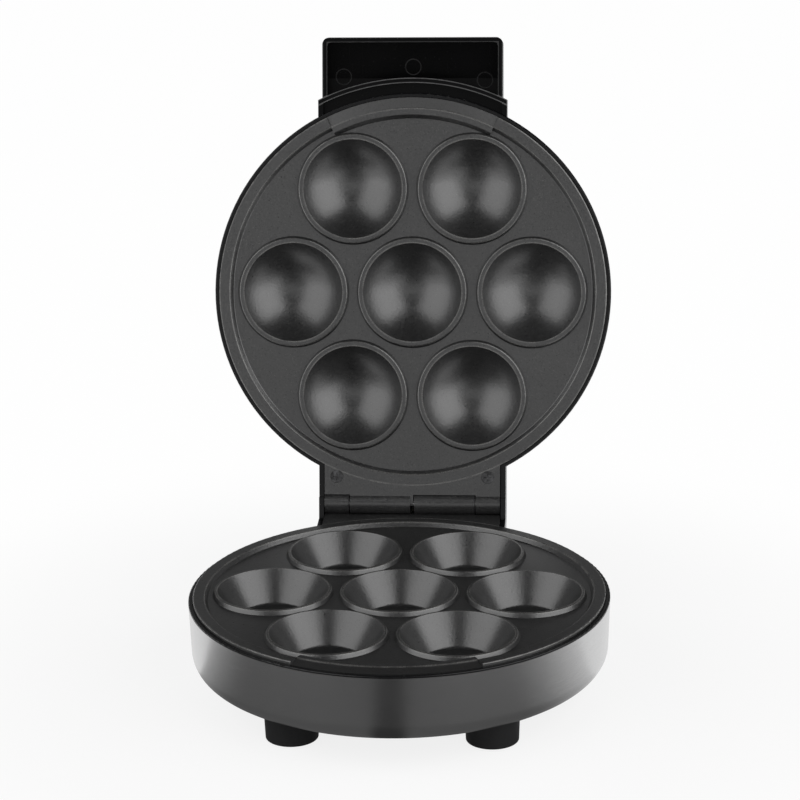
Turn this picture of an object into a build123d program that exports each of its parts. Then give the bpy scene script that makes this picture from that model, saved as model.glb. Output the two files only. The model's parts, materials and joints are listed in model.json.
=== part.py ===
from build123d import *
import math
import os

# A countertop cupcake maker: round base with seven cups, round lid with seven domes, one hinge pin.
# Everything is laid out about the base's own vertical axis, with the countertop at z = 0.
# The lid is laid out closed and then swung open about the hinge pin, as it rests on its stop.

# Cups and plates
CUP_PITCH = 59.0
OUTER_CUPS = 6
CUP_RIM_R = 26.0
CUP_FLOOR_R = 16.2
CUP_DEPTH = 14.6
CUP_FLOOR_ROUND = 2.2
DOME_RIM_R = 24.4
DOME_DEPTH = 13.0
COLLAR_DROP = 0.15
CUP_COLLAR_W = 1.2
DOME_COLLAR_W = 2.2
COLLAR_SLOPE_W = 1.1
RIM_ROUND = 0.5
PLATE_R = 96.0
PLATE_WALL = 2.3
LIP_W = 5.3
FIELD_DROP = 2.2
LIP_SLOPE_W = 1.8
SKIRT_DEPTH = 5.5
STRIP_HALF_DEG = 26.2
STRIP_EXTRA_LIP = 3.2
STRIP_STEP = 0.5
STRIP_FALL = 1.3
PLATE_GAP = 0.3

# Heights of the base, from the countertop up
PAD_H = 2.0
FOOT_LEN = 11.6
COVER_WALL = 2.4
BAND_RISE = 0.9
BAND_H = 31.3
RIM_H = 1.1
PLATE_STAND = 1.55

# Housings and metal skins
RIM_CLEARANCE = 0.3
RIM_WALL = 1.8
RIM_EDGE_R = 0.6
WALL = 2.4
BAND_T = 0.4
SKIN_FIT = 0.3
BAND_TAPER = 1.0
BAND_CORNER_R = 9.0
BAND_TURN_IN_W = 5.6
BAND_TURN_IN_H = 3.0
LID_SIDE_H = 32.0
LID_SIDE_TAPER = 1.6
LID_CORNER_R = 15.0
LID_CORNER_W = 16.0
LID_SLOPE_DEG = 9.0
LEDGE_W = 4.6
LEDGE_T = 2.4
LEDGE_ROOT_T = 5.5
FLANGE_T = 2.2
COVER_FIT = 0.3

# Hinge
HINGE_BACK = 9.1
HINGE_RISE = 4.4
KNUCKLE_R = 5.75
PIN_R = 2.1
PIN_FIT = 0.02
PIN_RUN = 0.07
PIN_HALF_LEN = 43.4
TAB_HALF_W = 43.6
KNUCKLE_CUTS = (-31.3, 0.0, 31.3)
KNUCKLE_GAP = 0.5
KNUCKLE_MID_GAP = 2.0
KNUCKLE_CLEAR = 0.45
CHEEK_FIT = 0.4
CHEEK_T = 2.4
TAIL_R = 16.5
TAIL_SPLIT_AHEAD = 3.0
OPEN_DEG = 103.7
STOP_GAP = 0.05
BLOCK_H = 19.0
HINGE_SCREW_X = 37.5
HINGE_SCREW_AHEAD = 13.5
HINGE_BOSS_R = 4.0
HINGE_BOSS_LEN = 4.0
HINGE_SEAT_UP = 2.8
HINGE_SCREW_LEN = 15.5
REST_GAP = 0.05
BLOCK_ROOF = 5.0

# Handle
HANDLE_HALF_W = 44.5
HANDLE_OUT = 27.3
HANDLE_LAP = 28.0
HANDLE_WALL = 2.4
HANDLE_CORNER_R = 3.5
HANDLE_TIP_H = 9.5
HANDLE_ROOT_H = 13.5
NECK_HALF_W = 46.6
NECK_OUT = 7.5
NECK_SKIN = 1.2
NECK_WALL = 2.5
HANDLE_SCREW_X = 25.0
HANDLE_SCREW_UP = 8.0
HANDLE_PAD_R = 4.6
HANDLE_PAD_IN = 5.0
NECK_ROOM_H = 4.0
MARK_R = 3.8
MARK_DEPTH = 0.25
MARKS = ((-0.2, 14.2), (-34.8, 19.0), (35.3, 20.7))

# Feet
FOOT_R = 12.0
FOOT_FLARE = 0.5
FOOT_X = 45.3
FOOT_FRONT_Y = -60.5
FOOT_REAR_X = 24.0
FOOT_REAR_Y = 75.0
PAD_R = 10.0
PAD_SEAT = 1.2
PAD_FIT = 0.2
FOOT_LIFT = 0.8
FOOT_WEB = 4.0
FOOT_BOSS_H = 4.0
FOOT_SCREW_LEN = 9.0

# Heater, clamp, reflector
TUBE_R = 3.15
HEATER_R = 29.5
HEATER_SINK = 12.4
LEG_X = 4.3
LEG_END_Y = 60.0
LEG_BEND_R = 8.0
TERMINAL_R = 1.4
TERMINAL_LEN = 9.0
GROOVE_FIT = 0.05
GROOVE_PAD_W = 4.4
CLAMP_T = 1.5
CLAMP_HALF_W = 5.2
CLAMP_EAR_R = 42.0
CLAMP_EAR_HALF_W = 5.0
CLAMP_ANGLES = (30.0, 150.0, 270.0)
CLAMP_BOSS_R = 4.0
CLAMP_SCREW_LEN = 9.0
REFLECTOR_INSET = 22.0
REFLECTOR_T = 0.6
REFLECTOR_RIM_H = 4.0
REFLECTOR_DROP = 26.2
REFLECTOR_POST_R = 3.6
REFLECTOR_POST_AT = 52.0
REFLECTOR_POST_ANGLES = (30.0, 150.0, 270.0)
REFLECTOR_SCREW_LEN = 5.0
REFLECTOR_FLARE = 2.0

# Mounting columns and screws
COLUMN_INSET = 14.0
COLUMN_R = 4.6
COLUMN_FOOT_Z = 21.0
COLUMN_RIB_T = 3.0
COLUMN_SEAT_UP = 8.0
COLUMN_SCREW_LEN = 14.0
LID_COLUMN_SEAT_UP = 4.0
LID_COLUMN_SCREW_LEN = 9.0
COLUMN_ANGLES = (30.0, 150.0, 210.0, 330.0)
LID_COLUMN_ANGLES = (210.0, 330.0)
PLATE_BOSS_LEN = 6.0
COVER_SCREW_INSET = 11.0
COVER_SCREW_ANGLES = (20.0, 160.0, 200.0, 340.0)
COVER_BOSS_R = 3.8
COVER_BOSS_LEN = 9.0
COVER_SCREW_LEN = 9.0
COVER_EDGE_W = 3.6
BORE_STOP = 1.5
SCREW_R = 1.7
SCREW_CLEAR_R = 1.95
THREAD_FIT = 0.03
SCREW_HEAD_R = 3.2
SCREW_HEAD_H = 2.2
HEAD_CLEAR = 0.3
HEAD_ROUND = 0.8
HEAD_SINK = 0.4
REAR_SCREW_LEN = 12.0
DRIVE_HALF_L = 1.9
DRIVE_HALF_W = 0.35
DRIVE_DEPTH = 1.0
COVER_STUD_R = 1.5
COVER_STUD_AT = 62.0
COVER_STUD_ANGLES = (30.0, 150.0, 270.0)
NUT_R = 3.2
NUT_H = 2.4
STUD_PAST_NUT = 1.5

# Electrical pieces
STAT_R = 8.0
STAT_H = 6.8
STAT_SCREW_X = 11.9
STAT_BOSS_R = 3.0
STAT_BOSS_LEN = 2.6
STAT_EAR_T = 0.8
STAT_EAR_W = 3.6
STAT_HEAD_R = 2.6
STAT_HEAD_H = 1.6
STAT_SCREW_LEN = 3.0
BLADE_HALF_W = 3.2
BLADE_T = 0.8
BLADE_END = 13.0
FUSE_R = 2.6
FUSE_LEN = 15.0
FUSE_AT = 42.0
FUSE_ANGLE = 210.0
FUSE_OFFSET = 9.0
CLIP_T = 0.8
CLIP_W = 7.0
CLIP_SCREW_LEN = 7.0
BLOCK_W = 27.0
BLOCK_D = 13.0
BLOCK_TALL = 11.0
BLOCK_INSET = 27.0
BLOCK_SEAT_UP = 3.0
BLOCK_SCREW_LEN = 5.0
BLOCK_SCREW_IN = 3.4
GLAND_R = 5.4
GLAND_BORE_R = 3.6
GLAND_FLANGE_R = 6.8
GLAND_FLANGE_T = 2.2
GLAND_LEN = 13.0
GLAND_UP = 7.0
LEAD_R = 1.2
LEAD_LOOP = 6.0
LEAD_BEND = 2.4
LEAD_OVER = 3.0
TERMINAL_PITCH = 5.0
TERMINAL_UP = 5.0
SLEEVE_R = 2.0
SLEEVE_SLOT_HALF_W = 2.7
SLEEVE_DOWN = 9.5
SLEEVE_BEND = 4.0
LENS_R = 4.6
LENS_BODY_R = 3.9
LENS_H = 1.6
LENS_BODY_LEN = 8.0
LENS_X = 9.0
LENS_Y = -68.0
LENS_FIT = 0.15
LENS_CROWN = 2.0
LAMP_GAP = 0.3
LAMP_R = 2.6
LAMP_LEN = 9.0
VENT_L = 26.0
VENT_W = 2.4
VENT_PITCH = 7.0
VENTS_A_SIDE = 2
VENT_X = 22.0

# Levels and radii that follow
COVER_UNDER = PAD_H + FOOT_LEN
COVER_TOP = COVER_UNDER + COVER_WALL
BAND_BOTTOM = COVER_UNDER + BAND_RISE
BAND_TOP = BAND_BOTTOM + BAND_H
RIM_TOP = BAND_TOP + RIM_H
LIP_TOP = RIM_TOP + PLATE_STAND
LID_LIP = LIP_TOP + PLATE_GAP
SPLIT_Z = LIP_TOP + PLATE_GAP / 2
HINGE_Y = PLATE_R + HINGE_BACK
HINGE_Z = SPLIT_Z + HINGE_RISE
SEAT_R = PLATE_R + RIM_CLEARANCE
HOUSING_R = SEAT_R + RIM_WALL
NECK_R = HOUSING_R + NECK_OUT
HANDLE_REACH = HOUSING_R + HANDLE_OUT
HANDLE_BACK_Y = -(HOUSING_R - HANDLE_LAP)
COLUMN_AT = PLATE_R - COLUMN_INSET
COVER_SCREW_AT = PLATE_R - COVER_SCREW_INSET
BLOCK_Y = PLATE_R - BLOCK_INSET
REFLECTOR_R = PLATE_R - REFLECTOR_INSET
RING_R = PLATE_R - LIP_W
LID_RIM_Z = LID_LIP + PLATE_STAND
LID_SKIN_Z = LID_RIM_Z + RIM_H
FIELD_UNDER = FIELD_DROP + PLATE_WALL
HINGE_SCREW_Y = HINGE_Y - HINGE_SCREW_AHEAD
CHEEK_IN = TAB_HALF_W + CHEEK_FIT
CHEEK_OUT = CHEEK_IN + CHEEK_T
SKIN_IN = BAND_T + SKIN_FIT
THREAD_R = SCREW_R + THREAD_FIT
FAR = 400.0


def face_xz(points):
    """A face in the XZ plane; a point is (x, z) or (x, z, corner radius)."""
    path = [(p[0], 0, p[1]) for p in points]
    radii = [p[2] if len(p) > 2 else 0 for p in points]
    return make_face(FilletPolyline(*path, radius=radii, close=True).edges())


def turned(points):
    """A solid of revolution about Z from a closed (radius, height, corner radius) outline."""
    return revolve(face_xz(points), axis=Axis.Z)


def slab(points, z0, z1):
    """A plate between two heights with a plan outline of (x, y, corner radius)."""
    path = [(p[0], p[1], z0) for p in points]
    radii = [p[2] if len(p) > 2 else 0 for p in points]
    face = make_face(FilletPolyline(*path, radius=radii, close=True).edges())
    return extrude(face, amount=z1 - z0, dir=(0, 0, 1))


def across(points, half_width):
    """A bar along X, from -half_width to half_width, with a (y, z, corner radius) outline."""
    path = [(0, p[0], p[1]) for p in points]
    radii = [p[2] if len(p) > 2 else 0 for p in points]
    face = make_face(FilletPolyline(*path, radius=radii, close=True).edges())
    return extrude(face, amount=half_width, dir=(1, 0, 0), both=True)


def block(x0, x1, y0, y1, z0, z1):
    """A box between two corners."""
    return Pos((x0 + x1) / 2, (y0 + y1) / 2, (z0 + z1) / 2) * Box(x1 - x0, y1 - y0, z1 - z0)


def post(radius, z0, z1, x=0.0, y=0.0):
    """An upright cylinder between two heights."""
    return Pos(x, y, (z0 + z1) / 2) * Cylinder(radius, z1 - z0)


def rod(radius, x0, x1, y, z):
    """A cylinder along X."""
    return Pos((x0 + x1) / 2, y, z) * Rot(0, 90, 0) * Cylinder(radius, x1 - x0)


def polar(at, angle):
    """The x, y of a place at a radius and an angle in degrees."""
    return at * math.cos(math.radians(angle)), at * math.sin(math.radians(angle))


def joined(shapes):
    """One shape from a list of touching or crossing shapes."""
    whole = shapes[0]
    for shape in shapes[1:]:
        whole = whole + shape
    return whole


def group(shapes):
    """Separate solids kept side by side in one node."""
    return Compound([solid for shape in shapes for solid in shape.solids()])


def upside_down(shape):
    """A shape drawn face up at z = 0, turned face down onto the lid's lip level."""
    return Pos(0, 0, LID_LIP) * mirror(shape, about=Plane.XY)


def opened(shape):
    """A closed-lid shape swung open about the hinge pin."""
    return Pos(0, HINGE_Y, HINGE_Z) * Rot(-OPEN_DEG, 0, 0) * Pos(0, -HINGE_Y, -HINGE_Z) * shape


def closed_place(place):
    """The y, z in the closed lid of a place given with the lid open."""
    lean = math.radians(OPEN_DEG)
    y = place[1] - HINGE_Y
    z = place[2] - HINGE_Z
    closed_y = HINGE_Y + y * math.cos(lean) - z * math.sin(lean)
    closed_z = HINGE_Z + y * math.sin(lean) + z * math.cos(lean)
    return closed_y, closed_z


def cup_places():
    """Centres of the seven cups: one in the middle and a ring round it."""
    ring = [polar(CUP_PITCH, 360.0 / OUTER_CUPS * n) for n in range(OUTER_CUPS)]
    return [(0.0, 0.0)] + ring


# Skins of base and lid

def bowl(inset, floor_z, top_z):
    """The base's turned outside, drawn in by inset, between two heights."""
    taper = math.atan(BAND_TAPER / (BAND_H - BAND_TURN_IN_H))
    turn = math.atan(BAND_TURN_IN_H / BAND_TURN_IN_W)
    knee_r = HOUSING_R - BAND_TAPER
    knee_z = BAND_BOTTOM + BAND_TURN_IN_H
    lean = (math.pi / 2 - taper - turn) / 2
    knee_r -= inset / math.cos(lean) * math.cos(lean - taper)
    knee_z += inset / math.cos(lean) * math.sin(lean - taper)
    top_r = HOUSING_R - inset / math.cos(taper)
    low_r = knee_r - FAR / 8
    low_z = knee_z - FAR / 8 * math.tan(turn)
    reach = FAR / 8
    upper_r = top_r + reach * math.tan(taper)
    outline = [(0, low_z), (low_r, low_z), (knee_r, knee_z, BAND_CORNER_R - inset),
               (upper_r, BAND_TOP + reach), (0, BAND_TOP + reach)]
    return turned(outline) & post(FAR, floor_z, top_z)


def lid_dome(inset, floor_z):
    """The lid's turned outside, drawn in by inset: a tapered side, a round corner and a low crown."""
    slope = math.radians(LID_SLOPE_DEG)
    taper = math.atan(LID_SIDE_TAPER / LID_SIDE_H)
    side_r = HOUSING_R - inset
    knee_r = side_r - LID_SIDE_TAPER
    crown_foot_r = HOUSING_R - LID_SIDE_TAPER - LID_CORNER_W
    foot_r = crown_foot_r - inset * math.sin(slope)
    foot_z = LID_SKIN_Z + LID_SIDE_H + LID_CORNER_W * math.tan(slope) - inset * math.cos(slope)
    knee_z = foot_z - (knee_r - foot_r) * math.tan(slope)
    low_z = floor_z
    low_r = side_r + (LID_SKIN_Z - low_z) * math.tan(taper)
    crown_z = foot_z + foot_r * math.tan(slope / 2)
    side = FilletPolyline((0, 0, low_z), (low_r, 0, low_z), (knee_r, 0, knee_z), (foot_r, 0, foot_z),
                          radius=[0, LID_CORNER_R - inset])
    crown_r = foot_r / math.sin(slope)
    mid = (crown_r * math.sin(slope / 2), 0, crown_z - crown_r * (1 - math.cos(slope / 2)))
    crown = ThreePointArc((foot_r, 0, foot_z), mid, (0, 0, crown_z))
    spine = Line((0, 0, crown_z), (0, 0, low_z))
    face = make_face([*side.edges(), *crown.edges(), *spine.edges()])
    return revolve(face, axis=Axis.Z)


def crown_height(y, inset):
    """Height and slope in degrees of the lid's crown at a distance y from the axis."""
    slope = math.radians(LID_SLOPE_DEG)
    foot_r = HOUSING_R - LID_SIDE_TAPER - LID_CORNER_W
    crown_r = foot_r / math.sin(slope)
    foot_z = LID_SKIN_Z + LID_SIDE_H + LID_CORNER_W * math.tan(slope)
    crown_z = foot_z + foot_r * math.tan(slope / 2)
    lean = math.asin(y / crown_r)
    return crown_z - crown_r + (crown_r - inset) * math.cos(lean), math.degrees(lean)


# Plates, drawn face up with the lip at z = 0

def heater_path():
    """The tube's middle line: a ring, opened at the rear, whose two legs run out side by side."""
    bend_x = LEG_X + LEG_BEND_R
    bend_y = math.sqrt((HEATER_R + LEG_BEND_R) ** 2 - bend_x ** 2)
    start = math.degrees(math.atan2(bend_y, bend_x))
    z = -HEATER_SINK
    touch = HEATER_R / (HEATER_R + LEG_BEND_R)
    half = math.radians((180 + 180 + start) / 2)
    bend_mid = (bend_x + LEG_BEND_R * math.cos(half), bend_y + LEG_BEND_R * math.sin(half), z)
    right = ThreePointArc((LEG_X, bend_y, z), bend_mid, (bend_x * touch, bend_y * touch, z))
    ring = ThreePointArc((bend_x * touch, bend_y * touch, z), (0, -HEATER_R, z),
                         (-bend_x * touch, bend_y * touch, z))
    left = ThreePointArc((-bend_x * touch, bend_y * touch, z), (-bend_mid[0], bend_mid[1], z),
                         (-LEG_X, bend_y, z))
    leg_in = Line((LEG_X, LEG_END_Y, z), (LEG_X, bend_y, z))
    leg_out = Line((-LEG_X, bend_y, z), (-LEG_X, LEG_END_Y, z))
    return Wire([*leg_in.edges(), *right.edges(), *ring.edges(), *left.edges(), *leg_out.edges()])


def heater_tube(radius):
    """The bent tube, swept along its middle line."""
    mouth = Plane(origin=(LEG_X, LEG_END_Y, -HEATER_SINK), z_dir=(0, -1, 0))
    return sweep(mouth * Circle(radius), path=heater_path())


def plate_blank():
    """The plate's turned body: field, raised lip and skirt."""
    return turned([
        (0, -FIELD_UNDER), (RING_R - LIP_SLOPE_W + PLATE_WALL / 2, -FIELD_UNDER),
        (RING_R + PLATE_WALL / 2, -PLATE_WALL), (PLATE_R - PLATE_WALL, -PLATE_WALL),
        (PLATE_R - PLATE_WALL, -SKIRT_DEPTH), (PLATE_R, -SKIRT_DEPTH), (PLATE_R, 0, RIM_ROUND),
        (RING_R, 0, RIM_ROUND), (RING_R - LIP_SLOPE_W, -FIELD_DROP, RIM_ROUND), (0, -FIELD_DROP)])


def front_sector():
    """The wedge of plan, about the front, that the lip's changed stretch lies in."""
    half_w = FAR * math.tan(math.radians(STRIP_HALF_DEG))
    return slab([(0, 0), (-half_w, -FAR), (half_w, -FAR)], -FAR, FAR)


def front_strip_lip():
    """The lip's wider stretch at the front."""
    inner = RING_R - STRIP_EXTRA_LIP
    low = -FIELD_DROP - PLATE_WALL / 2
    ring = turned([(inner - LIP_SLOPE_W, low), (RING_R + 1, low), (RING_R + 1, 0), (inner, 0, RIM_ROUND),
                   (inner - LIP_SLOPE_W, -FIELD_DROP)])
    return ring & front_sector()


def front_strip_cut():
    """What is taken off the lip's outside at the front, sloping down outwards."""
    outer = PLATE_R + 1
    ring = turned([(RING_R, 1), (RING_R, -STRIP_STEP), (outer, -STRIP_STEP - STRIP_FALL), (outer, 1)])
    return ring & front_sector()


def collar(rim_r, width):
    """The raised ring round a cup or dome."""
    low = -FIELD_UNDER + PLATE_WALL / 4
    return turned([(0, low), (rim_r + width + COLLAR_SLOPE_W, low),
                   (rim_r + width + COLLAR_SLOPE_W, -FIELD_DROP, RIM_ROUND),
                   (rim_r + width, -COLLAR_DROP, RIM_ROUND), (0, -COLLAR_DROP)])


def cup_shell():
    """A cup's outside: a cone one wall outside the cup."""
    lean = math.atan((CUP_RIM_R - CUP_FLOOR_R) / (CUP_DEPTH - COLLAR_DROP))
    side = PLATE_WALL / math.cos(lean)
    low_r = CUP_FLOOR_R + side - PLATE_WALL * math.tan(lean)
    high_r = CUP_RIM_R + side - (FIELD_UNDER - PLATE_WALL / 4 - COLLAR_DROP) * math.tan(lean)
    high_z = -FIELD_UNDER + PLATE_WALL / 4
    low_z = -CUP_DEPTH - PLATE_WALL
    floor_round = CUP_FLOOR_ROUND + PLATE_WALL / 2
    cone = turned([(0, low_z), (low_r, low_z, floor_round), (high_r, high_z), (0, high_z)])
    return cone + collar(CUP_RIM_R, CUP_COLLAR_W)


def cup_hollow():
    """The space of a cup."""
    return turned([(0, -CUP_DEPTH), (CUP_FLOOR_R, -CUP_DEPTH, CUP_FLOOR_ROUND),
                   (CUP_RIM_R, -COLLAR_DROP, RIM_ROUND), (CUP_RIM_R, 2), (0, 2)])


def dome_ball(grow):
    """The ball that a dome's hollow is part of."""
    radius = (DOME_RIM_R ** 2 + DOME_DEPTH ** 2) / (2 * DOME_DEPTH)
    return Pos(0, 0, radius - DOME_DEPTH - COLLAR_DROP) * Rot(90, 0, 0) * Sphere(radius + grow)


def dome_shell():
    """A dome's outside, one wall outside the hollow."""
    outside = dome_ball(PLATE_WALL) & block(-FAR, FAR, -FAR, FAR, -FAR, -FIELD_UNDER + PLATE_WALL / 4)
    return outside + collar(DOME_RIM_R, DOME_COLLAR_W)


def knuckle_spans(first):
    """The x ranges of one plate's knuckles: alternate ones, starting at the left or the second."""
    left, mid, right = KNUCKLE_CUTS
    half = KNUCKLE_GAP / 2
    wide = KNUCKLE_MID_GAP / 2
    spans = [(-TAB_HALF_W, left - half), (left + half, mid - wide), (mid + wide, right - half),
             (right + half, TAB_HALF_W)]
    return spans[first::2]


def hinge_tab(axis_z, own, other):
    """A plate's rear tab with its knuckles about the hinge line at height axis_z."""
    tab = slab([(-TAB_HALF_W, 0), (TAB_HALF_W, 0), (TAB_HALF_W, HINGE_Y), (-TAB_HALF_W, HINGE_Y)],
               -PLATE_WALL, 0)
    tab = tab - post(PLATE_R - 1, -FAR, FAR)
    for x0, x1 in own:
        tab = tab + rod(KNUCKLE_R, x0, x1, HINGE_Y, axis_z)
    for x0, x1 in other:
        reach = KNUCKLE_GAP
        room = rod(KNUCKLE_R + KNUCKLE_CLEAR, x0 - reach, x1 + reach, HINGE_Y, axis_z)
        behind = block(x0 - reach, x1 + reach, HINGE_Y - 2, FAR, -FAR, FAR)
        tab = tab - room - behind
    trim = block(-FAR, FAR, HINGE_Y, FAR, -FAR, FAR) - rod(KNUCKLE_R, -FAR, FAR, HINGE_Y, axis_z)
    return tab - trim


def plate(shell, hollow, axis_z, first, bore_extra):
    """A whole plate: lip, front strip, cups or domes, heater groove, clamp bosses and hinge."""
    own = knuckle_spans(first)
    other = knuckle_spans(1 - first)
    body = plate_blank() + front_strip_lip() - front_strip_cut()
    pad = post(HEATER_R + GROOVE_PAD_W, -HEATER_SINK, -FIELD_UNDER + 1)
    pad = pad - post(HEATER_R - GROOVE_PAD_W, -FAR, FAR)
    body = body + pad
    for x, y in cup_places():
        body = body + Pos(x, y, 0) * shell
    for angle in CLAMP_ANGLES:
        x, y = polar(CLAMP_EAR_R, angle)
        body = body + post(CLAMP_BOSS_R, -HEATER_SINK - TUBE_R, -FIELD_UNDER + 1, x, y)
    for angle in COLUMN_ANGLES:
        x, y = polar(COLUMN_AT, angle)
        body = body + post(COLUMN_R, -FIELD_UNDER - PLATE_BOSS_LEN, -FIELD_UNDER + 1, x, y)
    for x, y in cup_places():
        body = body - Pos(x, y, 0) * hollow
    body = body - heater_tube(TUBE_R + GROOVE_FIT)
    body = body + hinge_tab(axis_z, own, other)
    body = body - rod(PIN_R + bore_extra, -FAR, FAR, HINGE_Y, axis_z)
    skin = PLATE_WALL / 2
    for angle in CLAMP_ANGLES:
        x, y = polar(CLAMP_EAR_R, angle)
        body = body - post(THREAD_R, -FAR, -FIELD_DROP - skin, x, y)
    for angle in COLUMN_ANGLES:
        x, y = polar(COLUMN_AT, angle)
        body = body - post(THREAD_R, -FAR, -FIELD_DROP - skin, x, y)
    return body


def make_base_plate():
    """The base's cast plate with seven conical cups, thermostat bosses and hinge screw bosses."""
    body = plate(cup_shell(), cup_hollow(), HINGE_Z - LIP_TOP, 0, PIN_FIT)
    under = -CUP_DEPTH - PLATE_WALL
    for side in (-1, 1):
        boss_x = side * STAT_SCREW_X
        body = body + post(STAT_BOSS_R, under - STAT_BOSS_LEN, under + 1, boss_x, 0)
        body = body - post(STAT_BOSS_R / 2 + THREAD_FIT, -FAR, under + 1, boss_x, 0)
        foot = post(HINGE_BOSS_R, -PLATE_WALL - HINGE_BOSS_LEN, -1, side * HINGE_SCREW_X, HINGE_SCREW_Y)
        body = body + foot - post(THREAD_R, -FAR, -PLATE_WALL / 2, side * HINGE_SCREW_X, HINGE_SCREW_Y)
    body = body - Pos(0, 0, -LIP_TOP) * sleeve_slot(0, LIP_TOP - PLATE_WALL)
    x, y = polar(FUSE_AT, FUSE_ANGLE)
    body = body + post(CLAMP_BOSS_R, -HEATER_SINK - TUBE_R, -FIELD_UNDER + 1, x, y)
    body = body - post(THREAD_R, -FAR, -FIELD_DROP - PLATE_WALL / 2, x, y)
    return Pos(0, 0, LIP_TOP) * body


def make_lid_plate():
    """The lid's cast plate with seven domes and two countersunk screw holes beside the hinge."""
    body = plate(dome_shell(), dome_ball(0), LID_LIP - HINGE_Z, 1, PIN_RUN)
    for side in (-1, 1):
        at = Pos(side * HINGE_SCREW_X, HINGE_SCREW_Y, 0)
        seat = at * turned([(0, -FAR), (SCREW_CLEAR_R, -FAR), (SCREW_CLEAR_R, -PLATE_WALL + 0.5),
                            (SCREW_HEAD_R, -HEAD_SINK), (SCREW_HEAD_R, 1), (0, 1)])
        body = body - seat
    return upside_down(body)


# Heating pieces, drawn under a face-up plate

def heater():
    """The tubular heater with a terminal pin at the end of each leg."""
    pins = [Pos(side * LEG_X, LEG_END_Y + TERMINAL_LEN / 2, -HEATER_SINK) * Rot(90, 0, 0)
            * Cylinder(TERMINAL_R, TERMINAL_LEN) for side in (-1, 1)]
    return joined([heater_tube(TUBE_R)] + pins)


def heater_clamp():
    """The pressed ring that holds the heater up in its groove, with three screw ears."""
    top = -HEATER_SINK - TUBE_R
    low = top - CLAMP_T
    ring = post(HEATER_R + CLAMP_HALF_W, low, top)
    for angle in CLAMP_ANGLES:
        ear = block(HEATER_R, CLAMP_EAR_R, -CLAMP_EAR_HALF_W, CLAMP_EAR_HALF_W, low, top)
        ring = ring + Rot(0, 0, angle) * (ear + post(CLAMP_EAR_HALF_W, low, top, CLAMP_EAR_R, 0))
    ring = ring - post(HEATER_R - CLAMP_HALF_W, -FAR, FAR)
    for angle in CLAMP_ANGLES:
        x, y = polar(CLAMP_EAR_R, angle)
        ring = ring - post(SCREW_CLEAR_R, -FAR, FAR, x, y)
    return ring


def pan_screw(length):
    """A pan-head screw pointing up, its head's seat at z = 0."""
    head = turned([(0, -SCREW_HEAD_H), (SCREW_HEAD_R, -SCREW_HEAD_H, HEAD_ROUND), (SCREW_HEAD_R, 0), (0, 0)])
    slot = drive_slot(-SCREW_HEAD_H - 1, -SCREW_HEAD_H + DRIVE_DEPTH)
    return head + post(SCREW_R, -0.5, length) - slot - Rot(0, 0, 90) * slot


def drive_slot(z0, z1):
    """One arm of a screw head's cross, between two heights."""
    return block(-DRIVE_HALF_L, DRIVE_HALF_L, -DRIVE_HALF_W, DRIVE_HALF_W, z0, z1)


def clamp_screws():
    """The screws through the clamp's ears."""
    seat = -HEATER_SINK - TUBE_R - CLAMP_T
    return [Pos(*polar(CLAMP_EAR_R, angle), seat) * pan_screw(CLAMP_SCREW_LEN) for angle in CLAMP_ANGLES]


def reflector():
    """The thin dish that keeps the heat off the plastic, with screw holes and a rear notch."""
    low = -REFLECTOR_DROP
    rim_r = REFLECTOR_R + REFLECTOR_FLARE
    dish = turned([(0, low), (REFLECTOR_R, low, 1.0 + REFLECTOR_T), (rim_r, low + REFLECTOR_RIM_H),
                   (rim_r - REFLECTOR_T, low + REFLECTOR_RIM_H),
                   (REFLECTOR_R - REFLECTOR_T, low + REFLECTOR_T, 1.0), (0, low + REFLECTOR_T)])
    for angle in REFLECTOR_POST_ANGLES:
        x, y = polar(REFLECTOR_POST_AT, angle)
        dish = dish - post(SCREW_CLEAR_R, -FAR, FAR, x, y)
    notch = BLOCK_W / 2 + 3
    return dish - block(-notch, notch, BLOCK_Y - BLOCK_D / 2 - LEAD_LOOP - 3, FAR, -FAR, FAR)


def reflector_screws():
    """Short screws, heads on the dish, pointing away from the plate."""
    top = -REFLECTOR_DROP + REFLECTOR_T
    return [Pos(*polar(REFLECTOR_POST_AT, angle), top) * Rot(180, 0, 0)
            * pan_screw(REFLECTOR_SCREW_LEN) for angle in REFLECTOR_POST_ANGLES]


# Base

def stop_line_y(z):
    """The y of the stop face on the hinge block, where the open lid's tail comes to rest."""
    lean = math.radians(OPEN_DEG)
    foot_y = HINGE_Y - HINGE_RISE * math.sin(lean)
    foot_z = HINGE_Z - HINGE_RISE * math.cos(lean)
    return foot_y + (foot_z - z) * math.cos(lean) / math.sin(lean) - STOP_GAP


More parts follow.
